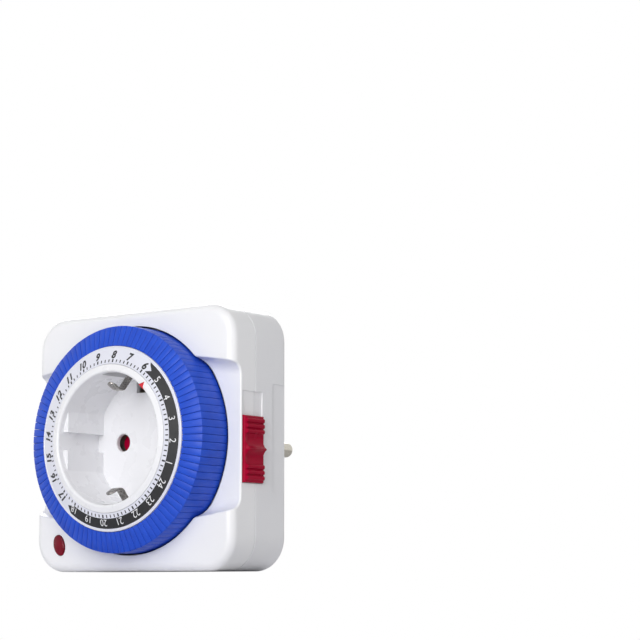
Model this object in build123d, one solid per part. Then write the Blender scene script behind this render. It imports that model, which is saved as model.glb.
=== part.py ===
from build123d import *
import math
import os

# A 24 hour plug-in timer switch. Lengths are in millimetres.
# +Z is up, the dial faces -Y, the plug pins point along +Y and the slide switch is on the +X side.
# The origin is the middle of the plug's seating face, between the two pins.
# Radii grow outwards from the socket's bore, and depths run back from the ring of tappets.

# ------------------------------------------------------------------ clearances
RUNNING_CLEARANCE = 0.05     # radial, on every bearing
FIT_CLEARANCE = 0.1          # between fixed pieces
SLIDE_CLEARANCE = 0.15       # between sliding pieces
END_GAP = 0.3                # along an axis, between a moving piece and its neighbour
CUT_PAST = 1.0               # cutters reach this far past the face that they open

# ------------------------------------------------------------------ housing
BODY_MARGIN = 2.85           # drum well to the housing's sides
BODY_CORNER_RADIUS = 10.0    # the four corners seen from the front
SMALLEST_CORNER = 0.5        # left where an inset has used a corner up
PAD_EDGE_RADIUS = 2.6        # rounding of the front edge
BACK_EDGE_RADIUS = 1.6       # rounding of the back edge
WALL = 2.0
SEAM_STEP = 0.5              # drum floor's back to the seam between the shells
SEAM_GROOVE_WIDTH = 0.25     # fine groove round the front shell's edge at the seam
SEAM_GROOVE_DEPTH = 0.7
SEAM_CHAMFER = 0.2           # rear shell's outer edge at the seam
MECHANISM_DEPTH = 9.1        # mechanism plate to the back wall
SCOOP_DEPTH = 4.0            # finger scoops beside the ring, below the corner pads
SCOOP_HALF_HEIGHT = 20.0     # half height of a scoop's floor at the housing's side
SCOOP_TAPER = 0.146          # how much higher it is for each mm inwards
SCOOP_SLOPE = 0.35           # how far its ends lean outwards for each mm of depth
SCOOP_FILLET = 3.5
SCOOP_EDGE_RADIUS = 0.5      # where a scoop's ends meet the pads
DRUM_GAP = 0.6               # ring of tappets to the round recess that it turns in
DRUM_WELL_WALL = 1.8
DRUM_FLOOR_THICKNESS = 1.4
BEARING_WALL = 1.3           # tube that the dial turns on
BOSS_RADIUS = 3.0
BOSS_INSET = 7.75            # screw bosses from the housing sides
LAMP_BOSS_RISE = 7.0         # the boss beside the lamp stands this much higher
LAMP_BOSS_OUTWARD = 2.2      # and this much nearer the side
SCREW_RADIUS = 1.25          # housing screw shank
SCREW_HEAD_RADIUS = 2.3
SCREW_HEAD_HEIGHT = 1.4
SCREW_GRIP = 5.0             # how far the screw reaches into the front boss
SCREW_SUNK = 0.2             # heads below the back face
CROSS_WIDTH = 0.5            # cross slots in the screw heads
CROSS_DEPTH = 0.6
CROSS_EDGE = 0.7             # slot's end to the head's edge

# ------------------------------------------------------------------ socket
PIN_SPACING = 19.0           # centre to centre, plug and socket alike
SOCKET_BORE_RADIUS = 19.5    # the round well that a plug enters
SOCKET_WALL = 1.5
SOCKET_DEPTH = 18.0          # rim to floor
SOCKET_FLOOR = 1.5
SOCKET_HOLE_RADIUS = 2.65
SOCKET_HOLE_EDGE = 0.3       # countersink of the two holes
SOCKET_MOUTH_RADIUS = 0.7    # rounding of the bore's front edge
SOCKET_RIM_WIDTH = 2.3       # fixed rim between the bore and the turning scale
SOCKET_RIM_THICKNESS = 1.3
SOCKET_FLAT_DEPTH = 2.1      # the two flat side walls stand this far inside the bore
SOCKET_FLAT_START = 2.4      # behind the rim
GUIDE_GROOVE_WIDTH = 5.4     # splits each flat wall in two
STANDOFF_RADIUS = 2.0
STANDOFF_OFFSET = 16.0       # two posts behind the floor, above and below the axis
STANDOFF_LENGTH = 3.7        # least distance from the socket's back to the mechanism plate
SHUTTER_GAP = 1.9            # behind the socket's floor
SHUTTER_THICKNESS = 1.0
SHUTTER_HUB_RADIUS = 4.0
SHUTTER_WING_RADIUS = 2.45
SHUTTER_ARM_HALF_WIDTH = 1.9
SHUTTER_PIVOT_RADIUS = 1.5
SPRING_WIRE_RADIUS = 0.25
SHUTTER_SPRING_LEG = 3.0
CONTACT_RADIUS = 3.6         # round socket contact sleeve
CONTACT_WALL = 1.05
CONTACT_LENGTH = 6.6
CONTACT_TAIL = 0.8
CONTACT_SLIT = 0.8
CONTACT_SLIT_STOP = 2.0      # the slit ends this far before the sleeve's back

# ------------------------------------------------------------------ plug
PIN_RADIUS = 2.4
PIN_LENGTH = 19.0
PIN_TIP_RADIUS = 1.9
PIN_ROOT_LENGTH = 6.0        # inside the plug body, behind its end wall
PIN_SHANK_RADIUS = 2.6       # where the pin passes the end wall
PIN_COLLAR_RADIUS = 3.4
PIN_COLLAR_LENGTH = 1.6
SHROUD_RADIUS = 18.5         # round plug body behind the housing
SHROUD_LENGTH = 20.5
SHROUD_WALL = 2.0
SHROUD_END = 2.5
STRAP_THICKNESS = 0.6        # earth straps, one above and one below
STRAP_WIDTH = 5.6
STRAP_SLOT_CLEARANCE = 0.25
STRAP_ROOM = 1.0             # half height of the strap's gap in the plate
STRAP_BEND_FRONT = 2.0       # the bend starts this far before the carrier's back
STRAP_BEND_LENGTH = 4.4
STRAP_END_BEND = 1.4         # length of the turned-in end
STRAP_END_DROP = 0.6
CLIP_WIDTH = 3.0             # narrower tongue inside the socket
CLIP_REACH = 14.3            # from the axis to the clip's nearest point
CLIP_START = 1.3             # rim to the clip's front end
CLIP_FLARE = 1.8             # the front end stands this far out
CLIP_NOSE_START = 4.8        # rim to the flat nose
CLIP_NOSE_END = 6.4
CLIP_LENGTH = 10.6           # rim to the clip's back bend
CLIP_BEND = 1.2
CLIP_TAIL = 1.0
EARTH_SLOT_MARGIN = 0.5      # slots in the socket floor start outside the clip's nose
EARTH_SLOT_HALF = 4.1        # half width of those slots
EARTH_SLOT_START = 0.4       # behind the rim's back
BAR_WIDTH = 5.0              # neutral bar and live bar
BAR_THICKNESS = 1.0

# ------------------------------------------------------------------ dial
DIAL_TAPPETS = 96            # one for each quarter of an hour
TAPPETS_PER_NODE = 4         # one hour
SCALE_WIDTH = 5.5            # rim to the ring of tappets
SCALE_THICKNESS = 1.0
RING_WIDTH = 6.2             # scale to the ring's outer edge
RING_STAND = 7.0             # outer front edge of the ring before the corner pads
CONE_RISE = 0.287            # the dial's front leans forward by this much for each mm inwards
COLLAR_THICKNESS = 3.2       # collar that guides the tappets
TAPPET_TRAVEL = 4.0
TAPPET_HEAD_THICKNESS = 2.2
TAPPET_SKIN_THICKNESS = 2.5
TAPPET_SKIN_GAP = 0.2        # skin to collar
TAPPET_LENGTH = 11.5
TAPPET_GAP = 0.2             # between one tappet and the next
TAPPET_RIB_WIDTH = 0.7
TAPPET_RIB_HEIGHT = 0.8
POINTER_ANGLE = 42.5         # degrees clockwise from the top, seen from the front
POINTER_HALF_BASE = 1.15
POINTER_INSET = 0.1          # base inside the socket's bore
POINTER_LENGTH = 1.9
POINTER_THICKNESS = 1.2

# ------------------------------------------------------------------ drive
DIAL_GEAR_TEETH = 96
DIAL_GEAR_WIDTH = 3.3
DIAL_GEAR_RIM = 0.95         # dial bore to the roots of the teeth
PINION_TEETH = 10
CLUTCH_TEETH = 32
GEAR_ADDENDUM = 0.4
GEAR_DEDENDUM = 0.6
TOOTH_TIP_SHARE = 0.22       # tooth width at its tip, as a share of the pitch
TOOTH_ROOT_SHARE = 0.46
DRIVE_ANGLE = -50.0          # where the drive pinion meets the dial gear, degrees from +X
MOTOR_ANGLE = -20.0          # where the motor pinion meets the clutch gear
AXLE_RADIUS = 0.75
AXLE_FRONT_GAP = 0.4         # dial's collar to the axle's end
PINION_FRONT_GAP = 0.5       # dial's collar to the drive pinion
SLEEVE_WALL = 0.85
CLUTCH_WIDTH = 1.5
CLUTCH_BACK_GAP = 0.5        # clutch gear to plate
MOTOR_RADIUS = 13.0
MOTOR_GAP = 0.5              # motor to the boss beside it, and to the contact carrier
MOTOR_SHAFT_DEPTH = 3.5      # in the motor
MOTOR_TAB_REACH = 3.5
MOTOR_TAB_WIDTH = 5.0
MOTOR_TAB_THICKNESS = 0.8
MOTOR_TAB_ANGLE = -45.0
PLATE_INSET = 6.25           # mechanism plate from the housing's sides
PLATE_CORNER_RADIUS = 2.0
PLATE_THICKNESS = 1.2
PLATE_GAP = 3.0              # least distance from the drum floor to the plate
PLATE_BOSS_GAP = 0.6
POST_RADIUS = 2.0
POST_INSET = 2.1             # posts from the plate's edges
RIGHT_POST_Z = 5.0           # the right post stands above the slider's stem
PLATE_SCREW_RADIUS = 1.0
PLATE_SCREW_HEAD = 1.9
PLATE_SCREW_HEAD_HEIGHT = 1.1

# ------------------------------------------------------------------ switch
LEVER_THICKNESS = 3.0
LEVER_X = 20.3
LEVER_EYE_RADIUS = 2.2
LEVER_PIVOT_Z = 5.0
LEVER_PIVOT_RADIUS = 1.0
LEVER_TIP_INSET = 1.75       # middle of its tip inside the ring's outer edge
LEVER_TIP_HALF = 1.2
LEVER_SIDE_GAP = 0.6
LEVER_WINDOW_GAP = 2.4       # above and below the tip
LEVER_FLOOR_GAP = 0.4        # arm behind the drum floor
LEVER_ARM = 0.8              # thickness of the arm at its bend
LEVER_NECK_FRONT = 1.0       # neck before the plate
LEVER_NECK_BACK = 0.6        # neck behind the plate
LEVER_SHOULDER = 2.5         # above the pusher's middle
PIVOT_SEAT = 1.3             # pivot pin inside the contact carrier
PIVOT_LUG = 2.0
PUSHER_Z = 12.5
PUSHER_HALF = 1.0
BLADE_THICKNESS = 0.4
BLADE_WIDTH = 5.0
BLADE_ABOVE = 1.5            # above the pusher's middle
BLADE_PAST = 2.2             # past the lever's middle
BLADE_ROOT_WIDTH = 2.2
BLADE_GAP = 0.95             # between the open contact rivets
RIVET_RADIUS = 1.5
RIVET_HEIGHT = 0.6
RIVET_DROP = 1.0             # below the pusher's middle
FIXED_STRIP_THICKNESS = 0.8
CARRIER_SIDE = 1.9           # contact sleeve to the carrier's end
CARRIER_HALF_HEIGHT = 6.5
CARRIER_DEPTH = 3.9
SLIDER_LENGTH = 19.4
SLIDER_WIDTH = 9.0
SLIDER_TRAVEL = 7.0
SLIDER_STAND = 0.9           # cap above the housing side
SLIDER_END_GAP = 0.2
SLIDER_LOW_Z = -13.5         # lower end of the cap
SLIDER_FORWARD = 5.9         # part of the cap before the seam
SLIDER_SIDE_GAP = 0.25
SLIDER_POCKET = 0.5
SLIDER_RIBS = 3              # at each end
SLIDER_RIB_RADIUS = 0.6      # half-round grip ribs
SLIDER_RIB_PITCH = 1.6
SLIDER_RIB_INSET = 0.8       # ribs from the cap's sides
SLIDER_RIB_END = 1.4         # first rib's middle from the cap's end
SLIDER_EDGE_RADIUS = 0.4     # rounding of the cap's outer edges
SLIDER_MARK_HALF = 2.4       # the pointed rib in the middle
SLIDER_MARK_HEIGHT = 1.4
SLIDER_MARK_NECK = 0.4       # share of its half width where its hollow flanks bend
SLIDER_STEM_GAP = 0.9        # stem behind the seam
SLIDER_STEM_THICKNESS = 2.2
SLIDER_STEM_HALF = 2.3       # short enough for the cap to hide the stem's slot
SLIDER_FLANGE_THICKNESS = 1.2
SLIDER_FLANGE_REACH = 2.4
DETENT_THICKNESS = 0.4       # the leaf spring inside the slider's flange
DETENT_BOW = 0.8
DETENT_OVERLAP = 1.5         # how far it lies beside the cap
DETENT_TAIL = 1.0            # past the middle of its posts
DETENT_POST_HALF = 1.0
DETENT_POST_GAP = 0.6        # flange's travel to the posts
PANEL_HALF_HEIGHT = 16.0
PANEL_DEPTH = 0.4
PANEL_WIDTH = 6.9

# ------------------------------------------------------------------ lamp
LAMP_INSET_X = 10.2          # lens centre from the left side
LAMP_INSET_Z = 8.0           # lens centre from the bottom
LENS_HALF_WIDTH = 2.2        # the lens is an oval that fills its hole in the front wall
LENS_HALF_HEIGHT = 3.25
LENS_TILT = 18.0             # degrees that its top leans to the left
LENS_STAND = 0.9
LENS_EDGE_RADIUS = 0.7
LENS_FLANGE_WIDTH = 0.35     # round flange behind the wall, past the oval's ends
LENS_FLANGE_THICKNESS = 1.0
LAMP_BOSS_WALL = 1.1
NEON_RADIUS = 2.5
NEON_TIP_RADIUS = 1.5
NEON_LENGTH = 8.5
RESISTOR_RADIUS = 1.1
RESISTOR_LENGTH = 6.5
RESISTOR_RIGHT = 8.0         # right of the lamp
RESISTOR_ABOVE = 4.5         # above the lamp
LEAD_RADIUS = 0.35
LEAD_LENGTH = 3.0

# ------------------------------------------------------------------ radii worked out
pin_x = PIN_SPACING / 2
socket_outer_radius = SOCKET_BORE_RADIUS + SOCKET_WALL
socket_flat_x = SOCKET_BORE_RADIUS - SOCKET_FLAT_DEPTH
rim_radius = SOCKET_BORE_RADIUS + SOCKET_RIM_WIDTH
bearing_bore = socket_outer_radius + FIT_CLEARANCE
bearing_radius = bearing_bore + BEARING_WALL
dial_bore = bearing_radius + RUNNING_CLEARANCE
scale_radius = rim_radius + SCALE_WIDTH
ring_radius = scale_radius + RING_WIDTH
tappet_skin_radius = ring_radius - TAPPET_SKIN_THICKNESS
collar_radius = tappet_skin_radius - TAPPET_SKIN_GAP
drum_well_radius = ring_radius + DRUM_GAP
drum_wall_radius = drum_well_radius + DRUM_WELL_WALL
half_body = drum_wall_radius + BODY_MARGIN
pointer_inner = SOCKET_BORE_RADIUS - POINTER_INSET
pointer_tip = pointer_inner + POINTER_LENGTH
lens_flange_radius = max(LENS_HALF_WIDTH, LENS_HALF_HEIGHT) + LENS_FLANGE_WIDTH
lamp_bore = lens_flange_radius + FIT_CLEARANCE
lamp_boss_radius = lamp_bore + LAMP_BOSS_WALL

# ------------------------------------------------------------------ depths behind the ring's edge
drum_floor_depth = TAPPET_LENGTH + TAPPET_TRAVEL + 2 * SLIDE_CLEARANCE
drum_back_depth = drum_floor_depth + DRUM_FLOOR_THICKNESS
rim_rise = CONE_RISE * (ring_radius - SOCKET_BORE_RADIUS)
socket_back_depth = SOCKET_DEPTH + SOCKET_FLOOR - rim_rise
shutter_back_depth = socket_back_depth + SHUTTER_GAP + SHUTTER_THICKNESS
contact_reach = CONTACT_LENGTH - CARRIER_DEPTH - PLATE_THICKNESS
plate_depth = max(
    drum_back_depth + PLATE_GAP,
    socket_back_depth + STANDOFF_LENGTH,
    shutter_back_depth + END_GAP + contact_reach,
)
back_depth = plate_depth + PLATE_THICKNESS + MECHANISM_DEPTH + WALL

# ------------------------------------------------------------------ planes worked out
plug_face_y = 0.0
plug_inner_y = plug_face_y - SHROUD_END
pin_root_y = plug_inner_y - PIN_ROOT_LENGTH
back_y = plug_face_y - SHROUD_LENGTH
inner_back_y = back_y - WALL
ring_y = back_y - back_depth
pad_y = ring_y + RING_STAND
scoop_y = pad_y + SCOOP_DEPTH
rim_y = ring_y - rim_rise
rim_back_y = ring_y - CONE_RISE * (ring_radius - rim_radius) + SOCKET_RIM_THICKNESS
socket_floor_y = rim_y + SOCKET_DEPTH
socket_back_y = ring_y + socket_back_depth
shutter_front_y = socket_back_y + SHUTTER_GAP
shutter_back_y = shutter_front_y + SHUTTER_THICKNESS
drum_floor_y = ring_y + drum_floor_depth
drum_floor_back_y = ring_y + drum_back_depth
seam_y = drum_floor_back_y + SEAM_STEP
tappet_end_y = ring_y + TAPPET_LENGTH
tappet_head_back_y = ring_y + TAPPET_HEAD_THICKNESS
collar_front_y = tappet_head_back_y + TAPPET_TRAVEL + 2 * SLIDE_CLEARANCE
collar_back_y = collar_front_y + COLLAR_THICKNESS
dial_gear_back_y = collar_back_y + DIAL_GEAR_WIDTH
plate_y = ring_y + plate_depth
plate_back_y = plate_y + PLATE_THICKNESS
clutch_back_y = plate_y - CLUTCH_BACK_GAP
clutch_front_y = clutch_back_y - CLUTCH_WIDTH
carrier_back_y = plate_back_y + CARRIER_DEPTH
lever_pivot_y = plate_back_y + LEVER_EYE_RADIUS + FIT_CLEARANCE
blade_y = carrier_back_y + CONTACT_TAIL
blade_back_y = blade_y + BLADE_THICKNESS
lens_front_y = pad_y - LENS_STAND
lens_flange_y = pad_y + WALL + FIT_CLEARANCE
lens_back_y = lens_flange_y + LENS_FLANGE_THICKNESS

# ------------------------------------------------------------------ places worked out
gear_module = 2 * (dial_bore + DIAL_GEAR_RIM + GEAR_DEDENDUM) / DIAL_GEAR_TEETH
drive_reach = gear_module * (DIAL_GEAR_TEETH + PINION_TEETH) / 2
drive_x = drive_reach * math.cos(math.radians(DRIVE_ANGLE))
drive_z = drive_reach * math.sin(math.radians(DRIVE_ANGLE))
motor_reach = gear_module * (CLUTCH_TEETH + PINION_TEETH) / 2
motor_pinion_x = drive_x + motor_reach * math.cos(math.radians(MOTOR_ANGLE))
motor_pinion_z = drive_z + motor_reach * math.sin(math.radians(MOTOR_ANGLE))
boss_offset = half_body - BOSS_INSET
boss_places = [
    (boss_offset, boss_offset),
    (boss_offset, -boss_offset),
    (-boss_offset, boss_offset),
    (-boss_offset - LAMP_BOSS_OUTWARD, -boss_offset + LAMP_BOSS_RISE),
]
plate_half = half_body - PLATE_INSET
post_offset = plate_half - POST_INSET
post_places = [(-post_offset, 0.0), (0.0, post_offset), (0.0, -post_offset), (post_offset, RIGHT_POST_Z)]
motor_offset = boss_offset - (MOTOR_RADIUS + BOSS_RADIUS + MOTOR_GAP) / math.sqrt(2)
lamp_x = -half_body + LAMP_INSET_X
lamp_z = -half_body + LAMP_INSET_Z
strap_z = socket_outer_radius - STRAP_THICKNESS / 2 - FIT_CLEARANCE
strap_plug_z = SHROUD_RADIUS - STRAP_THICKNESS
strap_slot_half = STRAP_WIDTH / 2 + STRAP_SLOT_CLEARANCE
carrier_half_width = pin_x + CONTACT_RADIUS + CARRIER_SIDE
lever_tip_z = math.sqrt((ring_radius - LEVER_TIP_INSET) ** 2 - LEVER_X ** 2)
lever_left_x = LEVER_X - LEVER_THICKNESS / 2
lever_right_x = LEVER_X + LEVER_THICKNESS / 2
lug_left_x = lever_right_x + LEVER_SIDE_GAP
lug_right_x = lug_left_x + PIVOT_LUG
blade_high_z = PUSHER_Z + BLADE_ABOVE
blade_left_x = pin_x + CONTACT_RADIUS + END_GAP
blade_right_x = LEVER_X + BLADE_PAST
slider_high_z = SLIDER_LOW_Z + SLIDER_LENGTH
slider_middle_z = (SLIDER_LOW_Z + slider_high_z) / 2
slider_front_y = seam_y - SLIDER_FORWARD
slider_back_y = slider_front_y + SLIDER_WIDTH
slider_cap_x = half_body + SLIDER_STAND
stem_front_y = seam_y + SLIDER_STEM_GAP
stem_back_y = stem_front_y + SLIDER_STEM_THICKNESS
flange_right_x = half_body - WALL - END_GAP
flange_left_x = flange_right_x - SLIDER_FLANGE_THICKNESS
detent_x = flange_left_x - END_GAP - DETENT_THICKNESS / 2 - DETENT_BOW
detent_post_x = detent_x + DETENT_THICKNESS / 2 + RUNNING_CLEARANCE
detent_front_y = slider_back_y - DETENT_OVERLAP
detent_back_y = slider_back_y + SLIDER_FLANGE_REACH
detent_low_z = slider_middle_z - SLIDER_STEM_HALF - DETENT_POST_GAP - DETENT_POST_HALF
detent_high_z = slider_middle_z + SLIDER_STEM_HALF + SLIDER_TRAVEL + DETENT_POST_GAP + DETENT_POST_HALF


# ------------------------------------------------------------------ small builders
def cylinder_y(radius, from_y, to_y, x=0.0, z=0.0):
    """A round bar along Y between two planes."""
    middle = (from_y + to_y) / 2
    return Pos(x, middle, z) * Rot(90, 0, 0) * Cylinder(radius, to_y - from_y)


def cylinder_x(radius, left_x, right_x, y, z):
    """A round bar along X between two planes."""
    middle = (left_x + right_x) / 2
    return Pos(middle, y, z) * Rot(0, 90, 0) * Cylinder(radius, right_x - left_x)


def tube_y(outer, inner, from_y, to_y, x=0.0, z=0.0):
    """A round tube along Y between two planes."""
    return cylinder_y(outer, from_y, to_y, x, z) - cylinder_y(inner, from_y, to_y, x, z)


def countersink(radius, edge, front_y, x):
    """The cone that eases the front edge of a hole along Y."""
    return Pos(x, front_y + edge / 2, 0) * Rot(90, 0, 0) * Cone(radius, radius + edge, edge)


def block(x_range, y_range, z_range):
    """A box given by its lowest and highest X, Y and Z."""
    spans = (x_range, y_range, z_range)
    middle = [(low + high) / 2 for low, high in spans]
    return Pos(*middle) * Box(*[high - low for low, high in spans])


def around(middle, half):
    """The range that reaches the same distance to both sides of a place."""
    return middle - half, middle + half


def extrude_y(sketch, from_y, to_y):
    """A sketch drawn with X across and Z up, made solid between two Y planes."""
    plane = Plane(origin=(0, to_y, 0), x_dir=(1, 0, 0), z_dir=(0, -1, 0))
    return extrude(plane * sketch, amount=to_y - from_y)


def extrude_x(sketch, left_x, right_x):
    """A sketch drawn with Y across and Z up, made solid between two X planes."""
    plane = Plane(origin=(left_x, 0, 0), x_dir=(0, 1, 0), z_dir=(1, 0, 0))
    return extrude(plane * sketch, amount=right_x - left_x)


def cone_y(radius):
    """The Y of the dial's sloping front at a distance from the axis."""
    return ring_y - CONE_RISE * (ring_radius - radius)


def outline(points):
    """A flat face with the given corners."""
    return make_face(Polyline(points, close=True))


def turned(points):
    """A solid turned about the dial's axis from an outline of (radius, Y) corners."""
    return revolve(outline(points), Axis.Y)


def rounded_square(inset):
    """The housing's outline seen from the front, drawn smaller by an inset all round."""
    side = 2 * (half_body - inset)
    return RectangleRounded(side, side, max(BODY_CORNER_RADIUS - inset, SMALLEST_CORNER))


def mirror_z(solid):
    """The same piece upside down."""
    return mirror(solid, about=Plane.XY)


def gear_face(teeth, turn):
    """A gear's outline with straight-sided teeth, the first tooth at the angle turn (radians)."""
    pitch = math.pi * gear_module
    root = gear_module * teeth / 2 - GEAR_DEDENDUM
    tip = gear_module * teeth / 2 + GEAR_ADDENDUM
    corners = [
        (root, -TOOTH_ROOT_SHARE * pitch / 2),
        (tip, -TOOTH_TIP_SHARE * pitch / 2),
        (tip, TOOTH_TIP_SHARE * pitch / 2),
        (root, TOOTH_ROOT_SHARE * pitch / 2),
    ]
    points = []
    for index in range(teeth):
        middle = turn + 2 * math.pi * index / teeth
        for radius, side in corners:
            angle = middle + side / radius
            points.append((radius * math.cos(angle), radius * math.sin(angle)))
    return outline(points)


def mesh_turn(angle, teeth, mate_teeth, mate_turn):
    """The turn (radians) that puts a tooth gap of this gear over the mate's tooth towards it."""
    towards = math.radians(angle)
    mate_pitch = 2 * math.pi / mate_teeth
    mate_offset = math.remainder(towards - mate_turn, mate_pitch)
    own_pitch = 2 * math.pi / teeth
    return towards + math.pi + own_pitch / 2 + mate_offset * mate_teeth / teeth


def strip_face(points, thickness):
    """The side view of a bent strip: its middle line given as points, with mitred bends."""
    left, right = [], []
    for index, (along, up) in enumerate(points):
        before = points[max(index - 1, 0)]
        after = points[min(index + 1, len(points) - 1)]
        into = math.atan2(up - before[1], along - before[0])
        out = math.atan2(after[1] - up, after[0] - along)
        if index == 0:
            into = out
        if index == len(points) - 1:
            out = into
        half_turn = math.remainder(out - into, 2 * math.pi) / 2
        normal = into + half_turn + math.pi / 2
        reach = thickness / 2 / math.cos(half_turn)
        left.append((along + reach * math.cos(normal), up + reach * math.sin(normal)))
        right.append((along - reach * math.cos(normal), up - reach * math.sin(normal)))
    return outline(left + right[::-1])


def screw(head_radius, head_range, shank_radius, tip_y, x, z):
    """A screw along Y with its tip at the front and a cross slot in the back of its head."""
    head_front, head_back = head_range
    body = cylinder_y(head_radius, head_front, head_back, x, z)
    body += cylinder_y(shank_radius, tip_y, head_front, x, z)
    long_half = head_radius - CROSS_EDGE
    short_half = CROSS_WIDTH / 2
    slot_y = (head_back - CROSS_DEPTH, head_back)
    body -= block(around(x, long_half), slot_y, around(z, short_half))
    return body - block(around(x, short_half), slot_y, around(z, long_half))


# ------------------------------------------------------------------ housing
def scoop_outline(y, grow):
    """The outline of the right scoop at one depth: higher inwards, and higher towards its mouth."""
    left, right = drum_well_radius / 2, half_body + CUT_PAST
    lean = SCOOP_SLOPE * (scoop_y + grow - y)
    outer = SCOOP_HALF_HEIGHT + grow + lean - SCOOP_TAPER * CUT_PAST
    inner = outer + SCOOP_TAPER * (right - left)
    corners = [(left, -inner), (right, -outer), (right, outer), (left, inner)]
    return Pos(0, y, 0) * Rot(90, 0, 0) * outline(corners)


def scoop_cutter(grow, floor_radius):
    """The space of both finger scoops, grown by a wall where it is used to leave that wall."""
    right = loft([scoop_outline(pad_y - CUT_PAST, grow), scoop_outline(scoop_y + grow, grow)], ruled=True)
    if floor_radius > 0:
        floor_edges = right.edges().group_by(Axis.Y)[-1]
        right = fillet(floor_edges.filter_by(lambda edge: abs(edge.tangent_at(0.5).X) > 0.5), floor_radius)
    return right + mirror(right, about=Plane.YZ)


def front_body():
    """The solid outer form of the front shell, before it is hollowed."""
    groove_y = seam_y - SEAM_GROOVE_WIDTH
    body = extrude_y(rounded_square(0), pad_y, groove_y)
    body = fillet(body.faces().sort_by(Axis.Y)[0].edges(), PAD_EDGE_RADIUS)
    body += extrude_y(rounded_square(SEAM_GROOVE_DEPTH), groove_y, seam_y)
    body -= scoop_cutter(0, SCOOP_FILLET)
    pad_edges = body.edges().filter_by(lambda edge: abs(edge.center().Y - pad_y) < CUT_PAST / 10)
    highest = SCOOP_HALF_HEIGHT + BODY_CORNER_RADIUS
    near_scoops = pad_edges.filter_by(lambda edge: abs(edge.center().Z) < highest)
    scoop_edges = near_scoops.filter_by(lambda edge: abs(edge.tangent_at(0.5).X) > 0.5)
    return fillet(scoop_edges, SCOOP_EDGE_RADIUS)


def front_cavity():
    """The space inside the front shell's corners."""
    cavity = extrude_y(rounded_square(WALL), pad_y + WALL, seam_y)
    cavity -= scoop_cutter(WALL, 0)
    return cavity - cylinder_y(drum_wall_radius, pad_y, drum_floor_back_y)


def strap_slot(y_range, low_z, high_z, half_width=strap_slot_half):
    """Slots for the two earth straps, above and below the axis."""
    upper = block(around(0, half_width), y_range, (low_z, high_z))
    return upper + mirror_z(upper)


def lever_window(y_range, low_z):
    """The gap that the switch lever reaches through."""
    high_z = lever_tip_z + LEVER_TIP_HALF + LEVER_WINDOW_GAP
    return block(around(LEVER_X, LEVER_THICKNESS / 2 + LEVER_SIDE_GAP), y_range, (low_z, high_z))


def lens_outline(grow):
    """The leaning oval of the lamp's lens, grown by a clearance where it is used as its hole."""
    oval = Ellipse(LENS_HALF_WIDTH + grow, LENS_HALF_HEIGHT + grow)
    return Pos(lamp_x, lamp_z) * Rot(0, 0, LENS_TILT) * oval


def slider_pocket():
    """The slide switch's window: a shallow pocket across the seam, and the slot that its stem runs in."""
    z_range = (SLIDER_LOW_Z - SLIDER_END_GAP, slider_high_z + SLIDER_TRAVEL + SLIDER_END_GAP)
    y_range = (slider_front_y - SLIDER_SIDE_GAP, slider_back_y + SLIDER_SIDE_GAP)
    pocket = block((half_body - SLIDER_POCKET, half_body + CUT_PAST), y_range, z_range)
    slot_low_z = slider_middle_z - SLIDER_STEM_HALF - SLIDER_END_GAP
    slot_high_z = slider_middle_z + SLIDER_STEM_HALF + SLIDER_TRAVEL + SLIDER_END_GAP
    slot_x = (half_body - WALL - CUT_PAST, half_body)
    return pocket + block(slot_x, (seam_y, stem_back_y + SLIDE_CLEARANCE), (slot_low_z, slot_high_z))


def front_housing():
    """Front shell: corner pads, scoops, drum recess with its bearing tube, bosses and posts."""
    shell = front_body() - front_cavity()
    shell -= cylinder_y(drum_well_radius, pad_y - CUT_PAST, drum_floor_y)
    shell += tube_y(bearing_radius, bearing_bore, rim_back_y, drum_floor_y)
    keep_out = cylinder_y(drum_well_radius + DRUM_WELL_WALL / 2, pad_y, seam_y) + scoop_cutter(0, 0)
    for x, z in boss_places:
        shell += cylinder_y(BOSS_RADIUS, pad_y + WALL, seam_y, x, z) - keep_out
        screw_bore = SCREW_RADIUS + RUNNING_CLEARANCE
        shell -= cylinder_y(screw_bore, seam_y - SCREW_GRIP, seam_y, x, z)
    for x, z in post_places:
        shell += cylinder_y(POST_RADIUS, drum_floor_back_y, plate_y, x, z)
        screw_bore = PLATE_SCREW_RADIUS + RUNNING_CLEARANCE
        shell -= cylinder_y(screw_bore, drum_floor_back_y, plate_y, x, z)
    shell += cylinder_y(lamp_boss_radius, pad_y + WALL, seam_y, lamp_x, lamp_z)
    shell -= cylinder_y(lamp_bore, pad_y + WALL, seam_y, lamp_x, lamp_z)
    shell -= extrude_y(lens_outline(FIT_CLEARANCE), pad_y - CUT_PAST, pad_y + WALL)
    shell -= cylinder_y(bearing_bore, rim_y, seam_y)
    sleeve_hole = AXLE_RADIUS + RUNNING_CLEARANCE + SLEEVE_WALL + FIT_CLEARANCE
    shell -= cylinder_y(sleeve_hole, drum_floor_y, drum_floor_back_y, drive_x, drive_z)
    window_low_z = lever_tip_z - LEVER_TIP_HALF - LEVER_WINDOW_GAP
    shell -= lever_window((drum_floor_y, drum_floor_back_y), window_low_z)
    return shell - slider_pocket()


def detent_posts():
    """Two posts on the inner side wall that carry the slider's detent spring."""
    y_range = (detent_back_y - DETENT_OVERLAP, inner_back_y)
    low = block((detent_post_x, half_body - WALL), y_range, around(detent_low_z, DETENT_POST_HALF))
    high = block((detent_post_x, half_body - WALL), y_range, around(detent_high_z, DETENT_POST_HALF))
    return low + high


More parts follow.
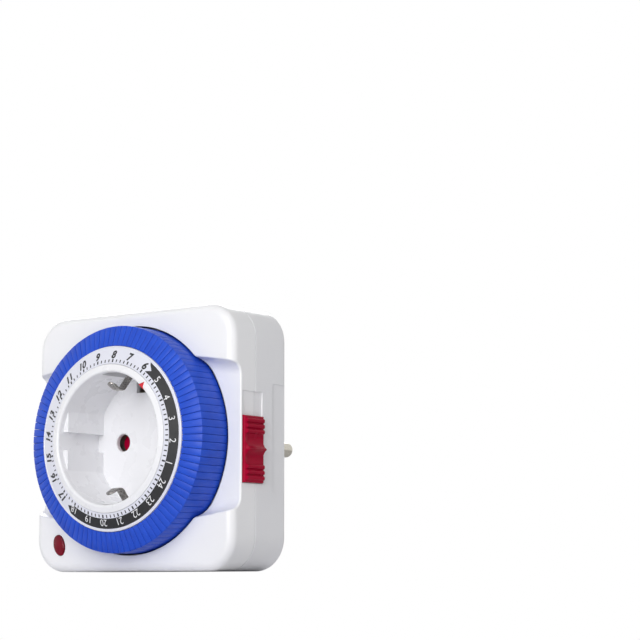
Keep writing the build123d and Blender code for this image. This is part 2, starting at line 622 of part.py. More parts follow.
def rear_housing():
    """Rear shell with the round plug body, its end wall and the screw bosses."""
    shell = extrude_y(rounded_square(0), seam_y, back_y)
    shell = fillet(shell.faces().sort_by(Axis.Y)[-1].edges(), BACK_EDGE_RADIUS)
    shell = chamfer(shell.faces().sort_by(Axis.Y)[0].edges(), SEAM_CHAMFER)
    shell -= extrude_y(rounded_square(WALL), seam_y, inner_back_y)
    shell += cylinder_y(SHROUD_RADIUS, back_y, plug_face_y)
    shell -= cylinder_y(SHROUD_RADIUS - SHROUD_WALL, inner_back_y, plug_inner_y)
    for x, z in boss_places:
        shell += cylinder_y(BOSS_RADIUS, seam_y, inner_back_y, x, z)
        shell -= cylinder_y(SCREW_RADIUS + FIT_CLEARANCE, seam_y, back_y, x, z)
        head_front = back_y - SCREW_SUNK - SCREW_HEAD_HEIGHT
        shell -= cylinder_y(SCREW_HEAD_RADIUS + FIT_CLEARANCE, head_front, back_y, x, z)
    slot_low_z = SHROUD_RADIUS - SHROUD_WALL - CUT_PAST
    shell -= strap_slot((inner_back_y, plug_inner_y), slot_low_z, SHROUD_RADIUS + CUT_PAST)
    for side in (-1, 1):
        shell -= cylinder_y(PIN_SHANK_RADIUS + RUNNING_CLEARANCE, plug_inner_y, plug_face_y, side * pin_x)
    panel_x = (half_body - PANEL_DEPTH, half_body + CUT_PAST)
    shell -= block(panel_x, (back_y - PANEL_WIDTH, back_y + CUT_PAST), around(0, PANEL_HALF_HEIGHT))
    return shell - slider_pocket() + detent_posts()


def housing_screws():
    """Four screws that join the shells, put in from the back."""
    head_back = back_y - SCREW_SUNK
    head_range = (head_back - SCREW_HEAD_HEIGHT, head_back)
    tip_y = seam_y - SCREW_GRIP + END_GAP
    return Compound(children=[
        screw(SCREW_HEAD_RADIUS, head_range, SCREW_RADIUS, tip_y, x, z) for x, z in boss_places
    ])


# ------------------------------------------------------------------ socket and its contacts
def pointer_face(grow):
    """The time pointer: a small triangle on the socket's rim, its tip towards the scale."""
    angle = math.radians(POINTER_ANGLE)
    out_x, out_z = math.sin(angle), math.cos(angle)
    base = POINTER_HALF_BASE + grow
    corners = [(pointer_inner - grow, -base), (pointer_inner - grow, base), (pointer_tip + grow, 0.0)]
    return outline([(r * out_x + s * out_z, r * out_z - s * out_x) for r, s in corners])


def time_pointer():
    """The fixed red pointer, set into the rim."""
    return extrude_y(pointer_face(0), cone_y(pointer_tip), rim_y + POINTER_THICKNESS)


def socket_bore():
    """The space inside the socket well: a bore with two flat sides, each split by a guide groove."""
    bore = cylinder_y(SOCKET_BORE_RADIUS, rim_y, socket_floor_y)
    y_range = (rim_y + SOCKET_FLAT_START, socket_floor_y)
    beyond = SOCKET_BORE_RADIUS + CUT_PAST
    for side in (-1, 1):
        flat = sorted((side * socket_flat_x, side * beyond))
        bore -= block(flat, y_range, (GUIDE_GROOVE_WIDTH / 2, beyond))
        bore -= block(flat, y_range, (-beyond, -GUIDE_GROOVE_WIDTH / 2))
    return bore


def socket_well():
    """The fixed socket: round well, rim, floor with two holes, standoffs and shutter pivot."""
    well = turned([
        (0, rim_y),
        (SOCKET_BORE_RADIUS, rim_y),
        (rim_radius, cone_y(rim_radius)),
        (rim_radius, rim_back_y),
        (socket_outer_radius, rim_back_y),
        (socket_outer_radius, socket_back_y),
        (0, socket_back_y),
    ])
    well -= socket_bore()
    well = fillet(well.edges().filter_by(GeomType.CIRCLE).sort_by(Axis.Y)[0], SOCKET_MOUTH_RADIUS)
    slot_low_z = CLIP_REACH + EARTH_SLOT_MARGIN
    slot_y = (rim_back_y + EARTH_SLOT_START, socket_back_y)
    well -= strap_slot(slot_y, slot_low_z, rim_radius, EARTH_SLOT_HALF)
    notch_back = rim_y + POINTER_THICKNESS + FIT_CLEARANCE
    well -= extrude_y(pointer_face(FIT_CLEARANCE), rim_y - CUT_PAST, notch_back)
    for side in (-1, 1):
        well -= cylinder_y(SOCKET_HOLE_RADIUS, socket_floor_y, socket_back_y, side * pin_x)
        well -= countersink(SOCKET_HOLE_RADIUS, SOCKET_HOLE_EDGE, socket_floor_y, side * pin_x)
        well += cylinder_y(STANDOFF_RADIUS, socket_back_y, plate_y, 0, side * STANDOFF_OFFSET)
    pivot_end = shutter_back_y + 4 * SPRING_WIRE_RADIUS + SLIDE_CLEARANCE
    return well + cylinder_y(SHUTTER_PIVOT_RADIUS, socket_back_y, pivot_end)


def safety_shutter():
    """The red shutter behind the holes: a hub with a wing over each hole."""
    shutter = cylinder_y(SHUTTER_HUB_RADIUS, shutter_front_y, shutter_back_y)
    for side in (-1, 1):
        shutter += cylinder_y(SHUTTER_WING_RADIUS, shutter_front_y, shutter_back_y, side * pin_x)
    y_range = (shutter_front_y, shutter_back_y)
    shutter += block(around(0, pin_x), y_range, around(0, SHUTTER_ARM_HALF_WIDTH))
    return shutter - cylinder_y(SHUTTER_PIVOT_RADIUS + RUNNING_CLEARANCE, *y_range)


def shutter_spring():
    """The torsion spring on the shutter's pivot, drawn as one closed turn with a leg."""
    radius = SHUTTER_PIVOT_RADIUS + SPRING_WIRE_RADIUS + FIT_CLEARANCE
    y = shutter_back_y + SPRING_WIRE_RADIUS + FIT_CLEARANCE
    turn = Pos(0, y, 0) * Rot(90, 0, 0) * Torus(radius, SPRING_WIRE_RADIUS)
    return turn + cylinder_x(SPRING_WIRE_RADIUS, -radius - SHUTTER_SPRING_LEG, -radius, y, 0)


def socket_contact(side):
    """A slit brass sleeve that grips a plug pin, with a flat tail behind the carrier."""
    x = side * pin_x
    front = carrier_back_y - CONTACT_LENGTH
    sleeve = tube_y(CONTACT_RADIUS, CONTACT_RADIUS - CONTACT_WALL, front, carrier_back_y, x)
    slit_y = (front, carrier_back_y - CONTACT_SLIT_STOP)
    sleeve -= block(around(x, CONTACT_SLIT / 2), slit_y, around(0, CONTACT_RADIUS))
    return sleeve + cylinder_y(CONTACT_RADIUS, carrier_back_y, blade_y, x)


def contact_carrier():
    """The insulating block that holds both socket contacts and one end of the lever's pivot."""
    y_range = (plate_back_y, carrier_back_y)
    carrier = block(around(0, carrier_half_width), y_range, around(0, CARRIER_HALF_HEIGHT))
    for side in (-1, 1):
        carrier -= cylinder_y(CONTACT_RADIUS + FIT_CLEARANCE, *y_range, side * pin_x)
    carrier -= cylinder_y(MOTOR_RADIUS + MOTOR_GAP, *y_range, motor_offset, -motor_offset)
    seat_x = carrier_half_width - PIVOT_SEAT - FIT_CLEARANCE
    pivot_bore = LEVER_PIVOT_RADIUS + RUNNING_CLEARANCE
    return carrier - cylinder_x(pivot_bore, seat_x, carrier_half_width, lever_pivot_y, LEVER_PIVOT_Z)


def earth_strap():
    """The upper earth strap: a spring clip in the socket, a run behind it and the plug's contact."""
    nose_z = CLIP_REACH + STRAP_THICKNESS / 2
    clip_back_y = rim_y + CLIP_LENGTH
    run_start_y = clip_back_y + CLIP_BEND + CLIP_TAIL
    bend_y = carrier_back_y - STRAP_BEND_FRONT
    end_y = plug_inner_y - SLIDE_CLEARANCE
    tongue = [
        (rim_y + CLIP_START, nose_z + CLIP_FLARE),
        (rim_y + CLIP_NOSE_START, nose_z),
        (rim_y + CLIP_NOSE_END, nose_z),
        (clip_back_y, strap_z - CLIP_BEND),
        (clip_back_y + CLIP_BEND, strap_z),
        (run_start_y, strap_z),
    ]
    run = [
        (run_start_y, strap_z),
        (bend_y, strap_z),
        (bend_y + STRAP_BEND_LENGTH, strap_plug_z),
        (end_y - STRAP_END_BEND, strap_plug_z),
        (end_y, strap_plug_z - STRAP_END_DROP),
    ]
    clip = extrude_x(strip_face(tongue, STRAP_THICKNESS), *around(0, CLIP_WIDTH / 2))
    return clip + extrude_x(strip_face(run, STRAP_THICKNESS), *around(0, STRAP_WIDTH / 2))


def plug_pin(side):
    """A plug pin: round tip, shank through the end wall, riveted collar behind it, and root."""
    x = side * pin_x
    pin = cylinder_y(PIN_RADIUS, pin_root_y, plug_face_y + PIN_LENGTH, x)
    pin = fillet(pin.faces().sort_by(Axis.Y)[-1].edges(), PIN_TIP_RADIUS)
    pin += cylinder_y(PIN_SHANK_RADIUS, plug_inner_y, plug_face_y, x)
    return pin + cylinder_y(PIN_COLLAR_RADIUS, plug_inner_y - PIN_COLLAR_LENGTH, plug_inner_y, x)


def neutral_bar():
    """The straight bar from the neutral pin's root to the neutral socket contact."""
    return block(around(-pin_x, BAR_WIDTH / 2), (blade_y, pin_root_y), around(0, BAR_THICKNESS / 2))


# ------------------------------------------------------------------ dial
def tappet_turns():
    """Each tappet's turn from the top in degrees, halfway between two lines of the scale."""
    return [(index + 0.5) * 360 / DIAL_TAPPETS for index in range(DIAL_TAPPETS)]


def dial_carrier():
    """The turning drum: hub, slotted guide collar and the gear rim behind it."""
    drum = turned([
        (dial_bore, cone_y(dial_bore) + SCALE_THICKNESS),
        (scale_radius, cone_y(scale_radius) + SCALE_THICKNESS),
        (scale_radius, collar_back_y),
        (dial_bore, collar_back_y),
    ])
    drum += tube_y(collar_radius, scale_radius, collar_front_y, collar_back_y)
    gear = extrude_y(gear_face(DIAL_GEAR_TEETH, 0.0), collar_back_y, dial_gear_back_y)
    drum += gear - cylinder_y(dial_bore, collar_back_y, dial_gear_back_y)
    slot_half = TAPPET_RIB_WIDTH / 2 + SLIDE_CLEARANCE
    slot_floor = tappet_skin_radius - TAPPET_RIB_HEIGHT - 2 * SLIDE_CLEARANCE
    slot_y = (collar_front_y - CUT_PAST, collar_back_y)
    cutter = block(around(0, slot_half), slot_y, (slot_floor, collar_radius + CUT_PAST))
    return drum - [Rot(0, turn, 0) * cutter for turn in tappet_turns()]


def hour_scale():
    """The printed ring on the drum's sloping front."""
    inner = rim_radius + 2 * SLIDE_CLEARANCE
    return turned([
        (inner, cone_y(inner)),
        (scale_radius, cone_y(scale_radius)),
        (scale_radius, cone_y(scale_radius) + SCALE_THICKNESS),
        (inner, cone_y(inner) + SCALE_THICKNESS),
    ])


def tappet():
    """One tappet at the top of the dial: sloping head, outer skin and guide rib."""
    inner = scale_radius + 2 * SLIDE_CLEARANCE
    side_view = outline([
        (cone_y(inner), inner),
        (ring_y, ring_radius),
        (tappet_end_y, ring_radius),
        (tappet_end_y, tappet_skin_radius),
        (tappet_head_back_y, tappet_skin_radius),
        (tappet_head_back_y, inner),
    ])
    half_angle = math.pi / DIAL_TAPPETS
    near = inner - CUT_PAST
    far = ring_radius + CUT_PAST
    near_half = near * math.tan(half_angle) - TAPPET_GAP / 2
    far_half = far * math.tan(half_angle) - TAPPET_GAP / 2
    wedge_face = outline([(-near_half, near), (near_half, near), (far_half, far), (-far_half, far)])
    wedge = extrude_y(wedge_face, rim_y, tappet_end_y + CUT_PAST)
    piece = extrude_x(side_view, *around(0, far_half + CUT_PAST)) & wedge
    rib_z = (tappet_skin_radius - TAPPET_RIB_HEIGHT, tappet_skin_radius)
    return piece + block(around(0, TAPPET_RIB_WIDTH / 2), (tappet_head_back_y, tappet_end_y), rib_z)


def tappet_group(hour, one):
    """The four tappets of one hour, counted clockwise from the top."""
    first = hour * TAPPETS_PER_NODE
    turns = tappet_turns()[first:first + TAPPETS_PER_NODE]
    return Compound(children=[Rot(0, turn, 0) * one for turn in turns])


# ------------------------------------------------------------------ drive
def gear_y(teeth, turn, y_range, x, z):
    """A gear about an axis along Y, between two planes."""
    return Pos(x, 0, z) * extrude_y(gear_face(teeth, turn), *y_range)


def drive_pinion():
    """The pinion that turns the dial, with the sleeve that passes the drum floor."""
    turn = mesh_turn(DRIVE_ANGLE, PINION_TEETH, DIAL_GEAR_TEETH, 0.0)
    front = collar_back_y + PINION_FRONT_GAP
    back = clutch_front_y - END_GAP
    bore = AXLE_RADIUS + RUNNING_CLEARANCE
    teeth = gear_y(PINION_TEETH, turn, (front, dial_gear_back_y), drive_x, drive_z)
    sleeve = cylinder_y(bore + SLEEVE_WALL, dial_gear_back_y, back, drive_x, drive_z)
    return teeth + sleeve - cylinder_y(bore, front, back, drive_x, drive_z)


def clutch_turn():
    """The clutch gear's turn that puts it in mesh with the motor pinion's row of teeth."""
    return mesh_turn(0.0, CLUTCH_TEETH, PINION_TEETH, 0.0)


def clutch_gear():
    """The large gear that slips on the drive axle when the dial is turned by hand."""
    y_range = (clutch_front_y, clutch_back_y)
    gear = gear_y(CLUTCH_TEETH, clutch_turn(), y_range, drive_x, drive_z)
    return gear - cylinder_y(AXLE_RADIUS + RUNNING_CLEARANCE, *y_range, drive_x, drive_z)


def motor_pinion():
    """The motor's output pinion with its shaft."""
    turn = mesh_turn(MOTOR_ANGLE, PINION_TEETH, CLUTCH_TEETH, clutch_turn())
    y_range = (clutch_front_y, plate_y - END_GAP)
    gear = gear_y(PINION_TEETH, turn, y_range, motor_pinion_x, motor_pinion_z)
    shaft_back = plate_back_y + MOTOR_SHAFT_DEPTH
    return gear + cylinder_y(AXLE_RADIUS, clutch_front_y, shaft_back, motor_pinion_x, motor_pinion_z)


def drive_axle():
    """The fixed axle of the drive pinion and the clutch gear, pressed into the plate."""
    return cylinder_y(AXLE_RADIUS, collar_back_y + AXLE_FRONT_GAP, plate_back_y, drive_x, drive_z)


def synchronous_motor():
    """The sealed motor with its two fixing tabs, behind the plate."""
    place = Pos(motor_offset, plate_back_y, -motor_offset)
    motor = cylinder_y(MOTOR_RADIUS, plate_back_y, inner_back_y - END_GAP, motor_offset, -motor_offset)
    tab_half = MOTOR_RADIUS + MOTOR_TAB_REACH
    tabs = block(around(0, tab_half), (0, MOTOR_TAB_THICKNESS), around(0, MOTOR_TAB_WIDTH / 2))
    motor += place * Rot(0, MOTOR_TAB_ANGLE, 0) * tabs
    shaft_bore = AXLE_RADIUS + RUNNING_CLEARANCE
    bore_back = plate_back_y + MOTOR_SHAFT_DEPTH + END_GAP
    return motor - cylinder_y(shaft_bore, plate_back_y, bore_back, motor_pinion_x, motor_pinion_z)


def mechanism_plate():
    """The plate that carries the motor, the gears and the contact carrier."""
    y_range = (plate_y, plate_back_y)
    plate = extrude_y(RectangleRounded(2 * plate_half, 2 * plate_half, PLATE_CORNER_RADIUS), *y_range)
    for x, z in boss_places:
        plate -= cylinder_y(BOSS_RADIUS + PLATE_BOSS_GAP, *y_range, x, z)
    plate -= cylinder_y(lamp_boss_radius + PLATE_BOSS_GAP, *y_range, lamp_x, lamp_z)
    plate -= strap_slot(y_range, strap_z - STRAP_ROOM, strap_z + STRAP_ROOM)
    for side in (-1, 1):
        plate -= cylinder_y(CONTACT_RADIUS + FIT_CLEARANCE, *y_range, side * pin_x)
    for x, z in post_places:
        plate -= cylinder_y(PLATE_SCREW_RADIUS + RUNNING_CLEARANCE, *y_range, x, z)
    plate -= cylinder_y(AXLE_RADIUS, *y_range, drive_x, drive_z)
    plate -= cylinder_y(AXLE_RADIUS + FIT_CLEARANCE, *y_range, motor_pinion_x, motor_pinion_z)
    plate -= lever_window(y_range, LEVER_PIVOT_Z - LEVER_EYE_RADIUS - LEVER_SIDE_GAP)
    lug_y = (plate_back_y, lever_pivot_y + LEVER_EYE_RADIUS)
    plate += block((lug_left_x, lug_right_x), lug_y, around(LEVER_PIVOT_Z, LEVER_EYE_RADIUS))
    pivot_bore = LEVER_PIVOT_RADIUS + RUNNING_CLEARANCE
    return plate - cylinder_x(pivot_bore, lug_left_x, lug_right_x, lever_pivot_y, LEVER_PIVOT_Z)


def plate_screws():
    """Four screws that hold the mechanism plate to the front shell's posts."""
    head_range = (plate_back_y, plate_back_y + PLATE_SCREW_HEAD_HEIGHT)
    tip_y = drum_floor_back_y + END_GAP
    return Compound(children=[
        screw(PLATE_SCREW_HEAD, head_range, PLATE_SCREW_RADIUS, tip_y, x, z) for x, z in post_places
    ])


# ------------------------------------------------------------------ switch
def switch_lever():
    """The follower lever: its tip waits behind the pressed tappets, its pusher at the blade."""
    pusher_y = blade_y - END_GAP
    arm_y = drum_floor_back_y + LEVER_FLOOR_GAP
    tip_low, tip_high = around(lever_tip_z, LEVER_TIP_HALF)
    side_view = outline([
        (lever_pivot_y - LEVER_EYE_RADIUS, LEVER_PIVOT_Z),
        (lever_pivot_y + LEVER_EYE_RADIUS, LEVER_PIVOT_Z),
        (pusher_y, PUSHER_Z - PUSHER_HALF),
        (pusher_y, PUSHER_Z + PUSHER_HALF),
        (plate_back_y + LEVER_NECK_BACK, PUSHER_Z + LEVER_SHOULDER),
        (arm_y + LEVER_ARM, tip_high),
        (drum_floor_y, tip_high),
        (drum_floor_y, tip_low),
        (arm_y, tip_low),
        (plate_y - LEVER_NECK_FRONT, PUSHER_Z),
    ])
    x_range = (lever_left_x, lever_right_x)
    lever = extrude_x(side_view, *x_range)
    lever += cylinder_x(LEVER_EYE_RADIUS, *x_range, lever_pivot_y, LEVER_PIVOT_Z)
    return lever - cylinder_x(LEVER_PIVOT_RADIUS + RUNNING_CLEARANCE, *x_range, lever_pivot_y, LEVER_PIVOT_Z)


def lever_pivot():
    """The pin that the switch lever turns on."""
    left = carrier_half_width - PIVOT_SEAT
    return cylinder_x(LEVER_PIVOT_RADIUS, left, lug_right_x, lever_pivot_y, LEVER_PIVOT_Z)


def moving_blade():
    """The spring blade with the moving contact rivet; its root lies at the live socket contact."""
    y_range = (blade_y, blade_back_y)
    blade = block((blade_left_x, blade_right_x), y_range, (blade_high_z - BLADE_WIDTH, blade_high_z))
    blade += block((blade_left_x, blade_left_x + BLADE_ROOT_WIDTH), y_range, (0.0, blade_high_z))
    rivet_z = PUSHER_Z - RIVET_DROP
    return blade + cylinder_y(RIVET_RADIUS, blade_back_y, blade_back_y + RIVET_HEIGHT, LEVER_X, rivet_z)


def fixed_blade():
    """The live bar from the plug pin's root, bent over to the fixed contact rivet."""
    rivet_front = blade_back_y + RIVET_HEIGHT + BLADE_GAP
    strip_front = rivet_front + RIVET_HEIGHT
    strip_y = (strip_front, strip_front + FIXED_STRIP_THICKNESS)
    left, right = around(pin_x, BAR_WIDTH / 2)
    low = -BAR_THICKNESS / 2
    bar = block((left, right), (strip_front, pin_root_y), (low, BAR_THICKNESS / 2))
    bar += block((left, right), strip_y, (low, blade_high_z))
    bar += block((left, blade_right_x), strip_y, (blade_high_z - BLADE_WIDTH, blade_high_z))
    return bar + cylinder_y(RIVET_RADIUS, rivet_front, strip_front, LEVER_X, PUSHER_Z - RIVET_DROP)


def override_slider():
    """The red slide switch at the low end of its window, with grip ribs, stem and flange."""
    cap_left = half_body - SLIDER_POCKET + SLIDER_SIDE_GAP
    slider = block((cap_left, slider_cap_x), (slider_front_y, slider_back_y), (SLIDER_LOW_Z, slider_high_z))
    slider = fillet(slider.faces().sort_by(Axis.X)[-1].edges(), SLIDER_EDGE_RADIUS)
    rib_y = (slider_front_y + SLIDER_RIB_INSET, slider_back_y - SLIDER_RIB_INSET)
    for step in range(SLIDER_RIBS):
        from_end = SLIDER_RIB_END + SLIDER_RIB_PITCH * step
        for z in (SLIDER_LOW_Z + from_end, slider_high_z - from_end):
            slider += cylinder_y(SLIDER_RIB_RADIUS, *rib_y, slider_cap_x, z)
    neck_x = slider_cap_x + SLIDER_MARK_HEIGHT / 4
    neck_half = SLIDER_MARK_HALF * SLIDER_MARK_NECK
    mark = outline([
        (slider_cap_x, slider_middle_z - SLIDER_MARK_HALF),
        (neck_x, slider_middle_z - neck_half),
        (slider_cap_x + SLIDER_MARK_HEIGHT, slider_middle_z),
        (neck_x, slider_middle_z + neck_half),
        (slider_cap_x, slider_middle_z + SLIDER_MARK_HALF),
    ])
    slider += extrude_y(mark, *rib_y)
    stem_z = around(slider_middle_z, SLIDER_STEM_HALF)
    slider += block((flange_left_x, cap_left), (stem_front_y, stem_back_y), stem_z)
    return slider + block((flange_left_x, flange_right_x), (stem_front_y, detent_back_y), stem_z)


def detent_spring():
    """The bowed leaf spring that the slider's flange runs along."""
    seat_low = detent_low_z + DETENT_POST_HALF
    seat_high = detent_high_z - DETENT_POST_HALF
    bow = [
        (detent_x, detent_low_z - DETENT_TAIL),
        (detent_x, seat_low),
        (detent_x + DETENT_BOW, (detent_low_z + detent_high_z) / 2),
        (detent_x, seat_high),
        (detent_x, detent_high_z + DETENT_TAIL),
    ]
    return extrude_y(strip_face(bow, DETENT_THICKNESS), detent_front_y, detent_back_y)


# ------------------------------------------------------------------ lamp
def lamp_lens():
    """The red lens in the lower left corner pad: a leaning oval with a round flange behind the wall."""
    lens = extrude_y(lens_outline(0), lens_front_y, lens_flange_y)
    lens = fillet(lens.faces().sort_by(Axis.Y)[0].edges(), LENS_EDGE_RADIUS)
    return lens + cylinder_y(lens_flange_radius, lens_flange_y, lens_back_y, lamp_x, lamp_z)


def neon_lamp():
    """The glow lamp behind the lens."""
    front = lens_back_y + END_GAP
    lamp = cylinder_y(NEON_RADIUS, front, front + NEON_LENGTH, lamp_x, lamp_z)
    return fillet(lamp.faces().sort_by(Axis.Y)[0].edges(), NEON_TIP_RADIUS)


def lamp_resistor():
    """The lamp's series resistor, lying behind the plate, with its two straight leads."""
    y = plate_back_y + RESISTOR_RADIUS + FIT_CLEARANCE
    z = lamp_z + RESISTOR_ABOVE
    left = lamp_x + RESISTOR_RIGHT
    right = left + RESISTOR_LENGTH
    return cylinder_x(RESISTOR_RADIUS, left, right, y, z) + cylinder_x(
        LEAD_RADIUS, left - LEAD_LENGTH, right + LEAD_LENGTH, y, z)


# ------------------------------------------------------------------ the assembly
NODES = {
    "front_housing": front_housing(),
    "rear_housing": rear_housing(),
    "housing_screws": housing_screws(),
    "socket_well": socket_well(),
    "time_pointer": time_pointer(),
    "safety_shutter": safety_shutter(),
    "shutter_spring": shutter_spring(),
    "socket_contact_live": socket_contact(1),
    "socket_contact_neutral": socket_contact(-1),
    "contact_carrier": contact_carrier(),
    "earth_strap_upper": earth_strap(),
    "earth_strap_lower": mirror_z(earth_strap()),
    "plug_pin_live": plug_pin(1),
    "plug_pin_neutral": plug_pin(-1),
    "neutral_bar": neutral_bar(),
    "fixed_blade": fixed_blade(),
    "moving_blade": moving_blade(),
    "switch_lever": switch_lever(),
    "lever_pivot": lever_pivot(),
    "override_slider": override_slider(),
    "detent_spring": detent_spring(),
    "dial_carrier": dial_carrier(),
    "hour_scale": hour_scale(),
    "drive_pinion": drive_pinion(),
    "clutch_gear": clutch_gear(),
    "motor_pinion": motor_pinion(),
    "drive_axle": drive_axle(),
    "synchronous_motor": synchronous_motor(),
    "mechanism_plate": mechanism_plate(),
    "plate_screws": plate_screws(),
    "lamp_lens": lamp_lens(),
    "neon_lamp": neon_lamp(),
    "lamp_resistor": lamp_resistor(),
}
one_tappet = tappet()
for hour in range(DIAL_TAPPETS // TAPPETS_PER_NODE):
    NODES[f"tappets_hour_{hour + 1:02d}"] = tappet_group(hour, one_tappet)

os.makedirs("parts", exist_ok=True)
for name, shape in NODES.items():
    export_step(shape, f"parts/{name}.step")
print(len(NODES), "nodes")
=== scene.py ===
"""A plug-in timer switch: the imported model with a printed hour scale, eased tappets and real finishes.

Lengths are in millimetres until a mesh is made. Angles on the dial run clockwise from the top, as they are
seen from the front.
"""
import logging
import math
from dataclasses import dataclass, field
from enum import Enum
from typing import Any, Iterable, Sequence

import bmesh
import bpy
import numpy as np
from mathutils import Matrix, Vector


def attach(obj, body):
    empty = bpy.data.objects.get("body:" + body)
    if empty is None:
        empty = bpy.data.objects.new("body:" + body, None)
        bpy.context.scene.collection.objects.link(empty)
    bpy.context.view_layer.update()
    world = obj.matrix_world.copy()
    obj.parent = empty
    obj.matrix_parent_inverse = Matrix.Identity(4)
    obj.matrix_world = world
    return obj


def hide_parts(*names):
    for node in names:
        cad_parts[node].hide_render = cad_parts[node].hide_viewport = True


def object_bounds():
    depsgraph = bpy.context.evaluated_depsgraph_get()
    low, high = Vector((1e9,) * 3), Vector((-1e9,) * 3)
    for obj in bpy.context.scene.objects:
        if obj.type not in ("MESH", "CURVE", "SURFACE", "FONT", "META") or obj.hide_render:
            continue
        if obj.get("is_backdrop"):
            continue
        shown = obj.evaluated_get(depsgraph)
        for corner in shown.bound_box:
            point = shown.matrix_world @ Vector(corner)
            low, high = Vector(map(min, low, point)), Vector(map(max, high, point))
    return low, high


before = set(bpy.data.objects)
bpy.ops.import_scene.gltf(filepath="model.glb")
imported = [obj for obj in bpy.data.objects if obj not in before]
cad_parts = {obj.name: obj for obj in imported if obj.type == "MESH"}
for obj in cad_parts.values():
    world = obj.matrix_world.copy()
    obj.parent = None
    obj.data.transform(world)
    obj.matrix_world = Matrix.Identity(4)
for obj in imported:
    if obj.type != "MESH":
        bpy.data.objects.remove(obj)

log = logging.getLogger("timer")

MM = 0.001                     # metres in a millimetre
SAME_PLACE = 1e-7              # metres: points nearer than this are one
DARK, BRIGHT = 0.3, 0.7        # nearly all of a cloudy pattern lies between these
DRAWN_OUT = 0.04               # a pattern's scale along drawing marks, which makes them 25 times longer
Tree = bpy.types.NodeTree
Socket = bpy.types.NodeSocket
Faces = list[list[int]]
Shape = tuple[np.ndarray, Faces]


class Slot(Enum):
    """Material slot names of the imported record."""

    BLUE = "blue_plastic"
    RED = "red_plastic"
    LENS = "red_lens"
    SCALE = "printed_scale"
    STRIP = "nickel_strip"


class Grain(Enum):
    """The direction that the marks of drawing or turning run along."""

    ALONG_Y = (1.0, DRAWN_OUT, 1.0)
    ALONG_Z = (1.0, 1.0, DRAWN_OUT)
    NONE = (1.0, 1.0, 1.0)


# ------------------------------------------------------------------ colours and nodes
def linear(colour: str) -> tuple[float, float, float, float]:
    """Turn an sRGB colour into the linear values that Blender's sockets take.

    Args:
        colour: Six hexadecimal digits after a hash sign.

    Returns:
        Linear red, green and blue with an alpha of one.
    """
    parts = np.array([int(colour[i:i + 2], 16) for i in (1, 3, 5)]) / 255
    low, high = parts / 12.92, ((parts + 0.055) / 1.055) ** 2.4
    red, green, blue = np.where(parts <= 0.04045, low, high)
    return float(red), float(green), float(blue), 1.0


def add_node(tree: Tree, kind: str, settings: dict[Any, Any], links: dict[Any, Socket]) -> bpy.types.Node:
    """Add a node, give it its settings, and link other nodes' outputs into it.

    Args:
        tree: The node tree of a material or of the world.
        kind: The node's type name.
        settings: Properties by name, and input values by socket name or number.
        links: Output sockets by the name or number of the input that they feed.

    Returns:
        The new node.
    """
    node = tree.nodes.new(kind)
    for key, value in settings.items():
        if isinstance(key, str) and hasattr(node, key):
            setattr(node, key, value)
        else:
            node.inputs[key].default_value = value
    for key, socket in links.items():
        tree.links.new(socket, node.inputs[key])
    return node


def new_material(name: str) -> tuple[bpy.types.Material, Tree, Socket]:
    """Start a material with empty nodes.

    Args:
        name: The finish's name.

    Returns:
        The material, its tree, and the Object coordinates that its patterns read.
    """
    material = bpy.data.materials.new(name)
    material.use_nodes = True
    tree = material.node_tree
    tree.nodes.clear()
    place = add_node(tree, "ShaderNodeTexCoord", {}, {})
    return material, tree, place.outputs["Object"]


def noise(tree: Tree, place: Socket, size: float, detail: float) -> Socket:
    """Add a cloudy pattern.

    Args:
        tree: The material's node tree.
        place: Coordinates in metres.
        size: Width of one blotch in millimetres.
        detail: Finer layers on top of it.

    Returns:
        The pattern's value, around one half.
    """
    settings = {"Scale": 1 / (size * MM), "Detail": detail, "Roughness": 0.5}
    return add_node(tree, "ShaderNodeTexNoise", settings, {"Vector": place}).outputs["Fac"]


def spread(tree: Tree, value: Socket, low: float, high: float) -> Socket:
    """Stretch a pattern's middle range over new limits.

    Args:
        tree: The material's node tree.
        value: A pattern around one half.
        low: The result where the pattern is dark.
        high: The result where the pattern is bright.

    Returns:
        The stretched value.
    """
    settings = {"From Min": DARK, "From Max": BRIGHT, "To Min": low, "To Max": high}
    return add_node(tree, "ShaderNodeMapRange", settings, {"Value": value}).outputs["Result"]


def blend(tree: Tree, share: Socket, first: Any, second: Any) -> Socket:
    """Mix two colours by a pattern.

    Args:
        tree: The material's node tree.
        share: How much of the second colour shows, from 0 to 1.
        first: A linear colour, or a socket that gives one.
        second: A linear colour, or a socket that gives one.

    Returns:
        The mixed colour.
    """
    settings: dict[Any, Any] = {"data_type": "RGBA"}
    links = {0: share}
    for socket, colour in ((6, first), (7, second)):
        if isinstance(colour, tuple):
            settings[socket] = colour
        else:
            links[socket] = colour
    return add_node(tree, "ShaderNodeMix", settings, links).outputs[2]


def looked_at(tree: Tree) -> Socket:
    """Tell the rays of the camera, of mirrors and of glass from those that only gather light.

    Args:
        tree: The node tree of a material or of the world.

    Returns:
        One for a ray that looks at the surface, and nought for any other.
    """
    ray = add_node(tree, "ShaderNodeLightPath", {}, {}).outputs
    mirror = add_node(tree, "ShaderNodeMath", {"operation": "MAXIMUM"},
                      {0: ray["Is Glossy Ray"], 1: ray["Is Transmission Ray"]}).outputs[0]
    return add_node(tree, "ShaderNodeMath", {"operation": "MAXIMUM"},
                    {0: ray["Is Camera Ray"], 1: mirror}).outputs[0]


